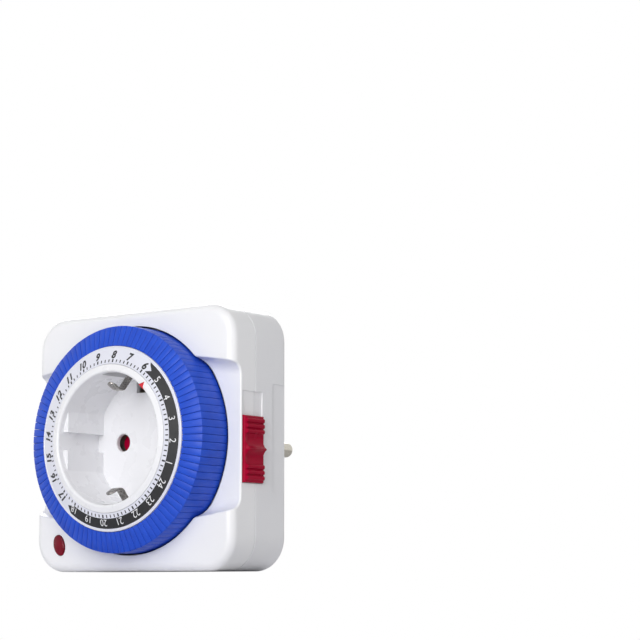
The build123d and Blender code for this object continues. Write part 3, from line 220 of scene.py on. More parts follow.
def finish_off(tree: Tree, shader: dict[Any, Any], colour: Socket,
               roughness: Socket, height: Socket, depth: float) -> None:
    """Join a pattern's colour, roughness and relief in one shader, and put it out.

    Args:
        tree: The material's node tree.
        shader: Constant values of the shader's own sockets.
        colour: The base colour.
        roughness: The roughness.
        height: The relief, from 0 to 1.
        depth: The relief's depth in millimetres.
    """
    bump = add_node(tree, "ShaderNodeBump", {"Distance": depth * MM, "Strength": 1.0}, {"Height": height})
    links = {"Base Color": colour, "Roughness": roughness, "Normal": bump.outputs["Normal"]}
    body = add_node(tree, "ShaderNodeBsdfPrincipled", shader, links)
    add_node(tree, "ShaderNodeOutputMaterial", {}, {"Surface": body.outputs["BSDF"]})


# ------------------------------------------------------------------ finishes
@dataclass(frozen=True)
class MouldedPlastic:
    """Injection-moulded ABS or nylon.

    The polished or sparked steel tool leaves a faint orange peel, and the melt's flow leaves soft clouds.
    """

    name: str
    colour: str
    shade: str                       # the second colour of the melt's clouds
    roughness: float
    peel: float = 1.1                # width of one dimple of the orange peel
    peel_depth: float = 0.004
    cloud: float = 16.0              # width of one cloud
    uneven: float = 0.02             # how much the gloss varies
    coat: float = 0.0                # skin of a polished tool
    inner_glow: float = 0.0          # light that goes a little way into the plastic
    ior: float = 1.53
    patches: float = 3.0             # patches of gloss to a cloud's width
    coat_roughness: float = 0.08
    glow_depth: float = 0.6          # how far that light goes

    def make(self) -> bpy.types.Material:
        """Make the material: cloudy colour, uneven gloss and a fine peel.

        Returns:
            The finished material.
        """
        material, tree, place = new_material(self.name)
        clouds = spread(tree, noise(tree, place, self.cloud, detail=3.0), 0.0, 1.0)
        colour = blend(tree, clouds, linear(self.colour), linear(self.shade))
        handled = noise(tree, place, self.cloud / self.patches, detail=4.0)
        roughness = spread(tree, handled, self.roughness - self.uneven, self.roughness + self.uneven)
        peel = noise(tree, place, self.peel, detail=2.0)
        shader = {"IOR": self.ior, "Coat Weight": self.coat, "Coat Roughness": self.coat_roughness,
                  "Subsurface Weight": self.inner_glow, "Subsurface Scale": self.glow_depth * MM}
        finish_off(tree, shader, colour, roughness, peel, self.peel_depth)
        return material


@dataclass(frozen=True)
class ClearPlastic:
    """Coloured clear acrylic or glass from a polished tool: deep where it is thick, with a sharp gloss."""

    name: str
    colour: str
    shade: str
    roughness: float
    transmission: float
    ior: float = 1.49
    flow: float = 2.4                # width of one flow mark
    patch: float = 1.2               # width of one patch of gloss
    uneven: float = 0.06             # how much duller the dullest patch is
    ripple: float = 1.6              # width of one ripple of the surface
    ripple_depth: float = 0.006

    def make(self) -> bpy.types.Material:
        """Make the material: tinted, partly or wholly clear, with faint flow marks.

        Returns:
            The finished material.
        """
        material, tree, place = new_material(self.name)
        flow = spread(tree, noise(tree, place, self.flow, detail=2.0), 0.0, 1.0)
        colour = blend(tree, flow, linear(self.colour), linear(self.shade))
        patches = noise(tree, place, self.patch, detail=2.0)
        roughness = spread(tree, patches, self.roughness, self.roughness + self.uneven)
        ripple = noise(tree, place, self.ripple, detail=1.0)
        shader = {"IOR": self.ior, "Transmission Weight": self.transmission}
        finish_off(tree, shader, colour, roughness, ripple, self.ripple_depth)
        return material


@dataclass(frozen=True)
class WorkedMetal:
    """Rolled, drawn or turned metal with its plating.

    The marks run one way. Real ones are a few hundredths of a millimetre apart, and these are drawn coarser,
    so that they show.
    """

    name: str
    colour: str
    shade: str
    roughness: float
    grain: Grain
    mark: float = 0.25               # distance between marks, about ten times the real one
    mark_depth: float = 0.004
    patch: float = 3.0               # width of one dull patch
    brighter: float = 0.06           # how far the roughness falls and rises over the patches
    duller: float = 0.1

    def make(self) -> bpy.types.Material:
        """Make the material: streaks in colour and relief along the grain, and dull patches.

        Returns:
            The finished material.
        """
        material, tree, place = new_material(self.name)
        drawn = add_node(tree, "ShaderNodeMapping", {"Scale": self.grain.value},
                         {"Vector": place}).outputs["Vector"]
        marks = noise(tree, drawn, self.mark, detail=3.0)
        # where the two colours lie far apart, as on the nickel strip, these colour streaks are painted
        # reflections as well as marks
        streaks = spread(tree, marks, 0.0, 1.0)
        colour = blend(tree, streaks, linear(self.colour), linear(self.shade))
        patches = noise(tree, place, self.patch, detail=3.0)
        roughness = spread(tree, patches, self.roughness - self.brighter, self.roughness + self.duller)
        finish_off(tree, {"Metallic": 1.0}, colour, roughness, marks, self.mark_depth)
        return material


@dataclass(frozen=True)
class PrintedInk:
    """Pad-printed ink: a thin even coat, a little duller than the plastic, with spots where it is thinner."""

    name: str
    colour: str
    shade: str
    roughness: float = 0.42
    ior: float = 1.5
    spot: float = 0.8                # width of one thin spot
    spot_depth: float = 0.002
    patch: float = 2.0               # width of one patch of gloss
    brighter: float = 0.05           # how far the roughness falls and rises over the patches
    duller: float = 0.08

    def make(self) -> bpy.types.Material:
        """Make the material: nearly even colour with a faint mottle.

        Returns:
            The finished material.
        """
        material, tree, place = new_material(self.name)
        mottle = spread(tree, noise(tree, place, self.spot, detail=3.0), 0.0, 1.0)
        colour = blend(tree, mottle, linear(self.colour), linear(self.shade))
        patches = noise(tree, place, self.patch, detail=2.0)
        roughness = spread(tree, patches, self.roughness - self.brighter, self.roughness + self.duller)
        finish_off(tree, {"IOR": self.ior}, colour, roughness, mottle, self.spot_depth)
        return material


@dataclass(frozen=True)
class RingedLacquer:
    """Lacquered resistor body: tan lacquer with painted value rings across its length."""

    name: str
    start: float                     # X of the body's left end
    length: float
    colour: str = "#C9A983"
    rings: tuple[str, ...] = ("#7A4420", "#1E1B1A", "#C8A43A")
    pitch: float = 0.2               # from ring to ring, in shares of the length
    ring: float = 0.09               # width of one ring, in such shares
    plain: float = 0.9               # where the bare end starts, in such shares
    spot: float = 0.7                # width of one spot of the mottle
    spot_depth: float = 0.01
    gloss: tuple[float, float] = (0.25, 0.45)        # roughness where it is smooth, and where it is dull
    ior: float = 1.5

    def make(self) -> bpy.types.Material:
        """Make the material: steps of colour along X on uneven lacquer.

        Returns:
            The finished material.
        """
        material, tree, place = new_material(self.name)
        along = add_node(tree, "ShaderNodeSeparateXYZ", {}, {"Vector": place}).outputs["X"]
        limits = {"From Min": self.start * MM, "From Max": (self.start + self.length) * MM}
        share = add_node(tree, "ShaderNodeMapRange", limits, {"Value": along}).outputs["Result"]
        ramp = add_node(tree, "ShaderNodeValToRGB", {}, {"Fac": share})
        steps = ramp.color_ramp
        steps.interpolation = "CONSTANT"
        steps.elements[0].color = linear(self.colour)
        steps.elements[1].position, steps.elements[1].color = self.plain, linear(self.colour)
        for index, ring in enumerate(self.rings):
            at = self.pitch + self.pitch * index
            steps.elements.new(at).color = linear(ring)
            steps.elements.new(at + self.ring).color = linear(self.colour)
        mottle = noise(tree, place, self.spot, detail=3.0)
        roughness = spread(tree, mottle, *self.gloss)
        finish_off(tree, {"IOR": self.ior}, ramp.outputs["Color"], roughness, mottle, self.spot_depth)
        return material


FINISHES = {
    # polished tool: a clean, slightly cool white with soft reflections
    "white": MouldedPlastic("gloss_abs_white", "#F3F3F4", "#F0F0F2", 0.32,
                            peel=0.9, peel_depth=0.0012, coat=0.1),
    # the rear shell is a shade darker: painted shade, standing for the shade that its sides would take if
    # drafted to lean a little backwards
    "rear": MouldedPlastic("gloss_abs_white_rear_painted_shade", "#EAEAEC", "#E7E7EA", 0.34,
                           peel=0.9, peel_depth=0.0012, coat=0.1),
    # the socket's insert is a cooler, glossier grade
    "well": MouldedPlastic("gloss_abs_well", "#F0F0F3", "#EEEEF1", 0.28,
                           peel=0.9, peel_depth=0.0010, coat=0.15),
    # the scale ring is a darker, bluish white: painted shade, and painted blue light thrown back from the
    # tappets
    "scale": MouldedPlastic("gloss_abs_scale_painted_shade", "#E2E3ED", "#DFE0EB", 0.3,
                            peel=0.9, peel_depth=0.0010, coat=0.1),
    # finely sparked tool: strong blue with a satin gloss and a visible grain
    "blue": MouldedPlastic("satin_abs_blue", "#1E50CC", "#1947BF", 0.42,
                           peel=0.35, peel_depth=0.004, cloud=6.0, uneven=0.05, ior=1.38),
    # polished tool: dark crimson, with an index so low that pale reflections don't wash it out
    "crimson": MouldedPlastic("gloss_abs_crimson", "#AA0230", "#9C0129", 0.26,
                              peel=0.7, peel_depth=0.002, ior=1.16),
    # polished tool: a brighter red than the switch, so that the mark is found at once
    "pointer": MouldedPlastic("gloss_abs_red", "#DE2436", "#D01B2E", 0.3, peel=0.6),
    # uncoloured nylon: milky and dull, for gears and drum
    "nylon": MouldedPlastic("nylon_natural", "#E4E1D6", "#D9D5C6", 0.5, peel=0.8, cloud=8.0, inner_glow=0.1),
    # glass-filled nylon: the plate and carrier are duller and more mottled
    "filled_nylon": MouldedPlastic("nylon_glass_filled", "#C9C5B8", "#B8B3A4", 0.6,
                                   peel=0.5, peel_depth=0.01, cloud=2.5),
    # tinted acrylic: wine red, deep where it is thick, with one sharp highlight
    "lens": ClearPlastic("clear_acrylic_red", "#8E0A28", "#78061E", 0.12, 0.28, ior=1.3),
    # drawn glass tube: almost clear, with bright edges
    "glass": ClearPlastic("lamp_glass_clear", "#F4EFE8", "#EDE6DC", 0.04, 0.9, ior=1.52),
    # nickel over drawn brass: warm grey mirror with faint marks along the pin
    "nickel_pin": WorkedMetal("nickel_plated_brass", "#C9C5BA", "#C0BBB0", 0.2, Grain.ALONG_Y, 0.3, 0.0005),
    # nickel strip, rolled lengthwise and then bent: streaks from end to end, partly rolling marks and partly
    # painted reflections, light and dark, of brushed metal
    "nickel_strip": WorkedMetal("nickel_plated_strip_painted_reflections", "#C4C0BC", "#66625E", 0.2, Grain.ALONG_Y, 0.3, 0.006),
    # zinc plating in a barrel: even grey, knocked all over
    "zinc": WorkedMetal("zinc_plated_steel", "#B4B6B8", "#9DA0A4", 0.36, Grain.NONE, 0.6, 0.003),
    # bright drawn steel: dark mirror with fine lines
    "spring": WorkedMetal("bright_drawn_spring_steel", "#A8A8A6", "#8F8F8E", 0.25, Grain.ALONG_Z, 0.2, 0.003),
    # rolled brass strip: warm yellow with lines along the roll
    "brass": WorkedMetal("rolled_brass", "#CDA65C", "#B98F45", 0.28, Grain.ALONG_Z, 0.3, 0.004),
    # black ink dries half dull, white ink over it a little brighter
    "ink_black": PrintedInk("pad_ink_black", "#151517", "#1C1C1F", 0.5),
    "ink_white": PrintedInk("pad_ink_white", "#F4F4F6", "#EAEAEE"),
    # dipped lacquer: tan with soft gloss, and thin painted rings
    "resistor": RingedLacquer("resistor_lacquer", -20.25, 6.5),
}


@dataclass
class Paint:
    """Makes each finish once, when a piece first asks for it."""

    made: dict[str, bpy.types.Material] = field(default_factory=dict)

    def get(self, name: str) -> bpy.types.Material:
        """Hand out a finish, which is made when it is first asked for.

        Args:
            name: The finish's short name.

        Returns:
            Its material.
        """
        if name not in self.made:
            self.made[name] = FINISHES[name].make()
        return self.made[name]

    def dress(self, nodes: Iterable[str], name: str) -> None:
        """Give CAD nodes one finish, in all their material slots.

        Args:
            nodes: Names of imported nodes.
            name: The finish's short name.
        """
        for node in nodes:
            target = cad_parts[node]
            target.data.materials.clear()
            target.data.materials.append(self.get(name))


# ------------------------------------------------------------------ meshes
def grid_quads(rows: int, columns: int, close_rows: bool, close_columns: bool) -> Faces:
    """Quads of a grid of points that are numbered row by row.

    Args:
        rows: Points along the path.
        columns: Points along the profile.
        close_rows: Whether the last row joins the first.
        close_columns: Whether each row's last point joins its first.

    Returns:
        Corner numbers of each quad.
    """
    row = np.arange(rows if close_rows else rows - 1)
    column = np.arange(columns if close_columns else columns - 1)
    here, side = np.meshgrid(row, column, indexing="ij")
    next_row, next_side = (here + 1) % rows, (side + 1) % columns
    corners = [here * columns + side, here * columns + next_side,
               next_row * columns + next_side, next_row * columns + side]
    return np.stack(corners, axis=-1).reshape(-1, 4).tolist()


def capped_tube(rows: int, count: int) -> Faces:
    """Faces of a tube of closed rows, with a flat cap at both ends.

    Args:
        rows: Rows along the tube.
        count: Points of a row.

    Returns:
        Corner numbers of each quad, and then of the first and the last cap.
    """
    quads = grid_quads(rows, count, False, True)
    return quads + [list(range(count))[::-1], list(range((rows - 1) * count, rows * count))]


def joined(shapes: Iterable[Shape]) -> Shape:
    """Put several shapes into one, with their corner numbers moved on.

    Args:
        shapes: Corners and faces of each shape.

    Returns:
        All corners and all faces.
    """
    points, faces, count = [], [], 0
    for more_points, more_faces in shapes:
        points.append(more_points)
        faces += [[corner + count for corner in face] for face in more_faces]
        count += len(more_points)
    return np.concatenate(points), faces


def inward(profile: np.ndarray) -> np.ndarray:
    """Mitred inward directions at the corners of a closed outline that runs anticlockwise.

    The direction is the sum of the two edge normals over one plus their dot product, so that an offset keeps
    both edges parallel.

    Args:
        profile: The outline's corners.

    Returns:
        One direction for each corner.
    """
    edge = np.roll(profile, -1, axis=0) - profile
    edge = edge / np.linalg.norm(edge, axis=1, keepdims=True)
    after = np.stack([-edge[:, 1], edge[:, 0]], axis=1)
    before = np.roll(after, 1, axis=0)
    return (before + after) / (1 + np.sum(before * after, axis=1, keepdims=True))


def eased_prism(profile: np.ndarray, low: np.ndarray, high: np.ndarray, ease: float) -> Shape:
    """A flat outline carried along a straight line, with a quarter-round edge at both ends.

    At a turn t from 0 to 90 degrees of each end's edge, the outline is drawn inwards by ease times one minus
    the cosine of t, and stands ease times one minus the sine of t before its end.

    Args:
        profile: Corners (first, second) of the outline, anticlockwise.
        low: Where the outline's corners end one way along the line, one value for each corner.
        high: Where they end the other way.
        ease: Radius of the quarter-round.

    Returns:
        Corners (first, second, along) and faces, closed by a flat cap at each end.
    """
    turn = np.radians([90.0, 45.0, 0.0])
    shrink = ease * (1 - np.cos(turn))[:, None, None]
    short = ease * (1 - np.sin(turn))[:, None]
    drawn = profile[None] + shrink * inward(profile)[None]
    first = np.concatenate([drawn, (low[None] + short)[:, :, None]], axis=2)
    last = np.concatenate([drawn, (high[None] - short)[:, :, None]], axis=2)[::-1]
    return np.concatenate([first, last]).reshape(-1, 3), capped_tube(2 * len(turn), len(profile))


def rounded_outline(corners: Sequence[tuple[float, float, float]]) -> np.ndarray:
    """A closed outline whose corners are cut by short curves.

    Each corner becomes three points of the parabola that starts and ends one radius away from it along both
    edges. A radius of zero keeps the corner.

    Args:
        corners: First and second coordinate and radius of each corner, anticlockwise.

    Returns:
        The outline's points.
    """
    table = np.array(corners)
    here, radius = table[:, :2], table[:, 2:]
    back = np.roll(here, 1, axis=0) - here
    ahead = np.roll(here, -1, axis=0) - here
    start = here + back / np.linalg.norm(back, axis=1, keepdims=True) * radius
    end = here + ahead / np.linalg.norm(ahead, axis=1, keepdims=True) * radius
    middle = 0.25 * start + 0.5 * here + 0.25 * end
    points = np.stack([start, middle, end], axis=1).reshape(-1, 2)
    keep = np.repeat(table[:, 2] > 0, 3) | np.tile([True, False, False], len(table))
    return points[keep]


def turned(profile: np.ndarray, steps: int) -> Shape:
    """A closed outline that stays off the dial's axis, turned about it.

    A point at radius r and turn t lies at r sin t to the right and r cos t above the axis.

    Args:
        profile: Points (radius, Y).
        steps: Points round the turn.

    Returns:
        Corners and faces.
    """
    turn = np.linspace(0, 2 * np.pi, steps, endpoint=False)[:, None]
    x, z = profile[:, 0] * np.sin(turn), profile[:, 0] * np.cos(turn)
    points = np.stack([x, np.broadcast_to(profile[:, 1], x.shape), z], axis=2).reshape(-1, 3)
    return points, grid_quads(steps, len(profile), True, True)


def on_dial(across: np.ndarray, depth: np.ndarray, out: np.ndarray, angle: np.ndarray) -> np.ndarray:
    """Turn points that were drawn at the top of the dial to their hour.

    A point at distance s across and r out, turned by t, lies at X = r sin t + s cos t and at
    Z = r cos t - s sin t.

    Args:
        across: Distance clockwise along the dial's edge.
        depth: Y.
        out: Distance from the axis, upwards at the top.
        angle: Turn in degrees.

    Returns:
        Points (X, Y, Z).
    """
    sine, cosine = np.sin(np.radians(angle)), np.cos(np.radians(angle))
    return np.stack([out * sine + across * cosine, depth, out * cosine - across * sine], axis=-1)


def add_piece(name: str, shape: Shape, body: str, material: bpy.types.Material,
              crease: float = 32.0) -> bpy.types.Object:
    """Make an object of a shape, with its faces outward, and let it ride on a body.

    Args:
        name: The piece's name.
        shape: Corners in millimetres, and faces.
        body: The CAD body that it moves with.
        material: Its finish.
        crease: Edges that bend by more than this many degrees stay sharp.

    Returns:
        The new object.
    """
    points, faces = shape
    mesh = bpy.data.meshes.new(name)
    mesh.from_pydata((points * MM).tolist(), [], faces)
    work = bmesh.new()
    work.from_mesh(mesh)
    bmesh.ops.remove_doubles(work, verts=work.verts, dist=SAME_PLACE)
    bmesh.ops.recalc_face_normals(work, faces=work.faces)
    work.to_mesh(mesh)
    work.free()
    mesh.shade_smooth()
    mesh.set_sharp_from_angle(angle=math.radians(crease))
    mesh.materials.append(material)
    piece = bpy.data.objects.new(name, mesh)
    bpy.context.scene.collection.objects.link(piece)
    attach(piece, body)
    log.info("%s: %d faces on %s", name, len(mesh.polygons), body)
    return piece


# ------------------------------------------------------------------ dial
@dataclass(frozen=True)
class DialFront:
    """The one cone that the tappets, the scale and the socket's rim follow."""

    edge_y: float = -53.0            # front edge of the ring of tappets
    edge_radius: float = 33.5
    rise: float = 0.287              # forward for each millimetre inwards

    def y(self, radius: np.ndarray | float) -> np.ndarray | float:
        """Y of the cone at a distance from the axis."""
        return self.edge_y - self.rise * (self.edge_radius - radius)


@dataclass
class TappetRing:
    """The 96 blue tappets, four to an hour, each with eased edges."""

    front: DialFront
    hours: int = 24
    per_hour: int = 4
    inner: float = 27.4              # head's inner end
    skin: float = 31.0               # inside of the outer skin
    gap: float = 0.09                # to the next tappet
    head_back: float = -50.8
    skin_end: float = -41.5
    ease: float = 0.13
    play: float = 0.06               # how unevenly the tappets stand, in and out
    seed: int = 24                   # of that unevenness
    inner_round: float = 0.25        # of the head's inner edge
    skin_round: float = 0.3          # of the skin's rear edge
    edge_round: float = 0.28         # of the front edge

    def profile(self) -> np.ndarray:
        """The side view, anticlockwise: sloping head, skin and rounded outer edge.

        Returns:
            Points (Y, out).
        """
        y_in = float(self.front.y(self.inner))
        return rounded_outline([
            (y_in, self.inner, self.inner_round),
            (self.head_back, self.inner, 0.0),
            (self.head_back, self.skin, 0.0),
            (self.skin_end, self.skin, 0.0),
            (self.skin_end, self.front.edge_radius, self.skin_round),
            (self.front.edge_y, self.front.edge_radius, self.edge_round),
        ])

    def tappet(self) -> Shape:
        """One tappet at the top of the dial: the side view carried across, with half the gap off each side.

        Returns:
            Corners (Y, out, across) and faces.
        """
        outline = self.profile()
        half = outline[:, 1] * math.tan(math.pi / (self.hours * self.per_hour)) - self.gap / 2
        return eased_prism(outline, -half, half, self.ease)

    def build(self, paint: Paint) -> None:
        """Make one piece for each hour and put it in place of its node.

        Args:
            paint: Where the finishes come from.
        """
        corners, faces = self.tappet()
        pitch = 360 / (self.hours * self.per_hour)
        stand = np.random.default_rng(self.seed).uniform(-self.play, 0, self.hours * self.per_hour)
        for hour in range(self.hours):
            four = []
            for step in range(self.per_hour):
                number = hour * self.per_hour + step
                depth = corners[:, 0] - stand[number]
                angle = np.full(len(corners), (number + 0.5) * pitch)
                four.append((on_dial(corners[:, 2], depth, corners[:, 1], angle), faces))
            node = f"tappets_hour_{hour + 1:02d}"
            piece = add_piece(f"eased_{node}", joined(four), node, paint.get("blue"))
            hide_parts(node)


@dataclass
class HourScale:
    """The white scale ring with its printed night band, quarter-hour ticks and 24 numbers."""

    front: DialFront
    hours: int = 24
    per_hour: int = 4
    inner: float = 21.9
    outer: float = 27.3
    thickness: float = 1.0
    steps: int = 384                 # points round the ring
    edge_round: float = 0.12
    lip: float = 0.45                # width of the raised outer lip
    lip_rise: float = 0.14
    lip_round: float = 0.05
    lip_foot: float = 0.1            # width of the slope up to it
    ink: float = 0.03                # ink stands this far out
    sunk: float = 0.05               # and starts this far inside the plastic
    band_inner: float = 23.5
    band_outer: float = 26.45
    # degrees at the inner edge, the middle and the outer edge
    band_start: tuple[float, float, float] = (36.6, 41.3, 36.0)
    band_end: tuple[float, float, float] = (213.6, 220.2, 215.6)
    band_across: int = 7             # points across the band, and along it
    band_along: int = 240
    first_hour_angle: float = 123.9  # where 24 stands
    number_radius: float = 24.72
    day_height: float = 2.4          # of the black numbers
    night_height: float = 1.95       # of the white ones
    day_weight: float = 0.035        # how much bolder than the plain font, in shares of its height
    night_weight: float = -0.004
    day_slant: float = 0.18          # how far the black numbers lean forward
    text_depth: float = 0.5          # before it is laid on the cone: any depth tells front from back
    text_steps: int = 6              # points along each curve of the font
    tick_inner: float = 22.4
    tick_length: float = 0.85
    tick_width: float = 0.36
    hour_tick_length: float = 0.95
    hour_tick_width: float = 0.5
    night: tuple[int, ...] = (18, 19, 20, 21, 22, 23, 24, 1, 2, 3, 4, 5)

    def lifted(self, radius: np.ndarray, lift: np.ndarray) -> np.ndarray:
        """Y at a height over the cone's front."""
        return self.front.y(radius) - lift

    def ring(self) -> Shape:
        """The plastic ring: a closed outline with a raised lip, turned about the axis.

        Returns:
            Corners and faces.
        """
        lip_start = self.outer - self.lip
        foot = lip_start - self.lip_foot
        at = self.front.y
        outline = rounded_outline([
            (self.inner, float(at(self.inner)), self.edge_round),
            (self.inner, float(at(self.inner)) + self.thickness, 0.0),
            (self.outer, float(at(self.outer)) + self.thickness, 0.0),
            (self.outer, float(at(self.outer)) - self.lip_rise, self.edge_round),
            (lip_start + self.lip_round, float(at(lip_start)) - self.lip_rise, self.lip_round),
            (foot, float(at(foot)), 0.0),
        ])
        return turned(outline, self.steps)

    def band(self) -> Shape:
        """The black night band.

        Its section runs over the front from the inner to the outer radius and back below the surface. Along
        it, each radius starts and ends at its own angle, which makes the notch at one end and the point at
        the other.

        Returns:
            Corners and faces.
        """
        across = np.linspace(self.band_inner, self.band_outer, self.band_across)
        radius = np.concatenate([across, across[::-1]])
        lift = np.repeat([self.ink, -self.sunk], len(across))
        middle = [self.band_inner, (self.band_inner + self.band_outer) / 2, self.band_outer]
        start = np.interp(radius, middle, self.band_start)
        end = np.interp(radius, middle, self.band_end)
        share = np.linspace(0, 1, self.band_along)[:, None]
        angle = start + share * (end - start)
        out = np.broadcast_to(radius, angle.shape)
        depth = np.broadcast_to(self.lifted(radius, lift), angle.shape)
        points = on_dial(np.zeros(angle.shape), depth, out, angle).reshape(-1, 3)
        return points, capped_tube(self.band_along, len(radius))

    def ticks(self) -> Shape:
        """Small printed blocks, one to a quarter of an hour, and wider and longer at the hours.

        Returns:
            Corners and faces of all of them.
        """
        number = np.arange(self.hours * self.per_hour)
        angle = (self.first_hour_angle + number * (360 / len(number)))[:, None]
        whole = (number % self.per_hour == 0)[:, None]
        half = np.where(whole, self.hour_tick_width, self.tick_width) / 2
        length = np.where(whole, self.hour_tick_length, self.tick_length)
        side = np.array([-1, 1, 1, -1, -1, 1, 1, -1])
        end = np.array([0, 0, 1, 1, 0, 0, 1, 1])
        front = np.array([1, 1, 1, 1, 0, 0, 0, 0])
        out = self.tick_inner + end * length
        lift = front * (self.ink + self.sunk) - self.sunk
        depth = self.lifted(out, np.broadcast_to(lift, out.shape))
        points = on_dial(side * half, depth, out, np.broadcast_to(angle, out.shape)).reshape(-1, 3)
        box = [[0, 1, 2, 3], [7, 6, 5, 4], [0, 4, 5, 1], [1, 5, 6, 2], [2, 6, 7, 3], [3, 7, 4, 0]]
        faces = [[corner + tick * len(side) for corner in face]
                 for tick in range(len(number)) for face in box]
        return points, faces

    def number(self, hour: int) -> Shape:
        """One printed number, its top outwards.

        The flat text is made a mesh and scaled to its height. A point at s across and v up goes to that
        distance across and to the number's radius plus v out, and then forward on to the cone.

        Args:
            hour: What to print, from 1 to 24.

        Returns:
            Corners and faces.
        """
        text = bpy.data.curves.new("number", "FONT")
        text.body = str(hour)
        text.align_x = "CENTER"
        by_day = hour not in self.night
        text.shear = self.day_slant if by_day else 0.0
        text.offset = self.day_weight if by_day else self.night_weight
        text.extrude = self.text_depth
        text.resolution_u = self.text_steps
        holder = bpy.data.objects.new("number", text)
        bpy.context.scene.collection.objects.link(holder)
        bpy.context.view_layer.update()
        flat = bpy.data.meshes.new_from_object(holder.evaluated_get(bpy.context.evaluated_depsgraph_get()))
        bpy.data.objects.remove(holder)
        bpy.data.curves.remove(text)
        points = np.zeros(len(flat.vertices) * 3)
        flat.vertices.foreach_get("co", points)
        points = points.reshape(-1, 3)
        faces = [list(face.vertices) for face in flat.polygons]
        bpy.data.meshes.remove(flat)
        low, high = points.min(0), points.max(0)
        size = (self.day_height if by_day else self.night_height) / (high[1] - low[1])
        across = (points[:, 0] - (low[0] + high[0]) / 2) * size
        out = self.number_radius + (points[:, 1] - (low[1] + high[1]) / 2) * size
        lift = np.where(points[:, 2] > 0, 2 * self.ink, -self.sunk)
        angle = np.full(len(points), self.first_hour_angle - 360 / self.hours * hour)
        depth = self.lifted(np.hypot(across, out), lift)
        return on_dial(across, depth, out, angle), faces

    def build(self, paint: Paint) -> None:
        """Make the ring and everything that is printed on it.

        Args:
            paint: Where the finishes come from.
        """
        # the scale ring's finish carries painted shade and painted blue bounce light
        ring = add_piece("scale_ring", self.ring(), "dial", paint.get("scale"))
        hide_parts("hour_scale")
        add_piece("scale_night_band", self.band(), "dial", paint.get("ink_black"))
        add_piece("scale_ticks", self.ticks(), "dial", paint.get("ink_black"))
        day = [self.number(hour) for hour in range(1, self.hours + 1) if hour not in self.night]
        night = [self.number(hour) for hour in self.night]
        add_piece("scale_day_numbers", joined(day), "dial", paint.get("ink_black"))
        add_piece("scale_night_numbers", joined(night), "dial", paint.get("ink_white"))


# ------------------------------------------------------------------ socket
@dataclass
class EarthClip:
    """The upper or lower earth strap: a springy tongue with a rounded end, and its run to the plug body."""

    upper: bool
    thickness: float = 0.6
    tongue_width: float = 3.0
    run_width: float = 5.6
    bend: float = 1.1                # how far before a corner its curve starts
    most_bend: float = 0.45          # and at most this share of a run
    side_power: float = 0.4          # powers of the section's cosine and sine: lower ones make it squarer
    face_power: float = 0.6
    blunt: float = 0.002             # share that keeps the very end from closing to a point
    bend_steps: int = 7              # points along a bend, the round end, the rest, and round the section
    end_steps: int = 8
    run_steps: int = 190
    section_steps: int = 16
    crease: float = 50.0
    corners: tuple[tuple[float, float], ...] = (
        (-55.72, 16.4), (-52.2, 14.6), (-50.6, 14.6), (-46.4, 19.4), (-45.2, 20.6),
        (-29.7, 20.6), (-25.3, 17.9), (-4.05, 17.9), (-2.65, 17.3))
    widening_y: float = -44.7        # where the tongue meets the wider run
    widening: float = 0.8            # length over which it widens

    def path(self) -> np.ndarray:
        """The strip's middle line: straight runs joined by short parabolas.

        Returns:
            Y, distance out and length so far of each point.
        """
        line = np.array(self.corners)
        legs = np.diff(line, axis=0)
        length = np.linalg.norm(legs, axis=1)
        unit = legs / length[:, None]
        reach = np.minimum(self.bend, self.most_bend * np.minimum(length[:-1], length[1:]))[:, None]
        start, end = line[1:-1] - unit[:-1] * reach, line[1:-1] + unit[1:] * reach
        share = np.linspace(0, 1, self.bend_steps)[:, None, None]
        curve = (1 - share) ** 2 * start + 2 * share * (1 - share) * line[1:-1] + share ** 2 * end
        rough = np.concatenate([line[:1], curve.transpose(1, 0, 2).reshape(-1, 2), line[-1:]])
        along = np.concatenate([[0], np.cumsum(np.linalg.norm(np.diff(rough, axis=0), axis=1))])
        tip = self.tongue_width / 2 * (1 - np.cos(np.linspace(0, np.pi / 2, self.end_steps)))
        at = np.concatenate([tip, np.linspace(tip[-1], along[-1], self.run_steps)[1:]])
        return np.stack([np.interp(at, along, rough[:, 0]), np.interp(at, along, rough[:, 1]), at], axis=1)

    def strip(self) -> Shape:
        """A flat section with rounded edges, carried along the middle line.

        The half width follows a circle at the tongue's end, and grows smoothly where the run starts. A point
        of the section at turn t lies across by a power of cos t, and through the strip by a power of sin t.

        Returns:
            Corners and faces.
        """
        line = self.path()
        step = np.gradient(line[:, :2], axis=0)
        step /= np.linalg.norm(step, axis=1, keepdims=True)
        normal = np.stack([-step[:, 1], step[:, 0]], axis=1)
        half = self.tongue_width / 2
        tip = np.sqrt(np.clip(1 - (1 - np.minimum(line[:, 2] / half, 1)) ** 2, self.blunt, 1)) * half
        wide = np.clip((line[:, 0] - self.widening_y) / self.widening, 0, 1)
        half_width = tip + (self.run_width / 2 - half) * wide * wide * (3 - 2 * wide)
        turn = np.linspace(0, 2 * np.pi, self.section_steps, endpoint=False)
        across = np.sign(np.cos(turn)) * np.abs(np.cos(turn)) ** self.side_power
        through = np.sign(np.sin(turn)) * np.abs(np.sin(turn)) ** self.face_power * self.thickness / 2
        x = half_width[:, None] * across
        y = line[:, 0:1] + normal[:, 0:1] * through
        z = line[:, 1:2] + normal[:, 1:2] * through
        points = np.stack([x, y, z if self.upper else -z], axis=2).reshape(-1, 3)
        return points, capped_tube(len(line), len(turn))

    def build(self, paint: Paint) -> None:
        """Make the strap and put it in place of its node.

        Args:
            paint: Where the finishes come from.
        """
        node = "earth_strap_upper" if self.upper else "earth_strap_lower"
        name = node.replace("earth_strap", "earth_clip")
        piece = add_piece(name, self.strip(), "housing", paint.get("nickel_strip"), self.crease)
        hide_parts(node)


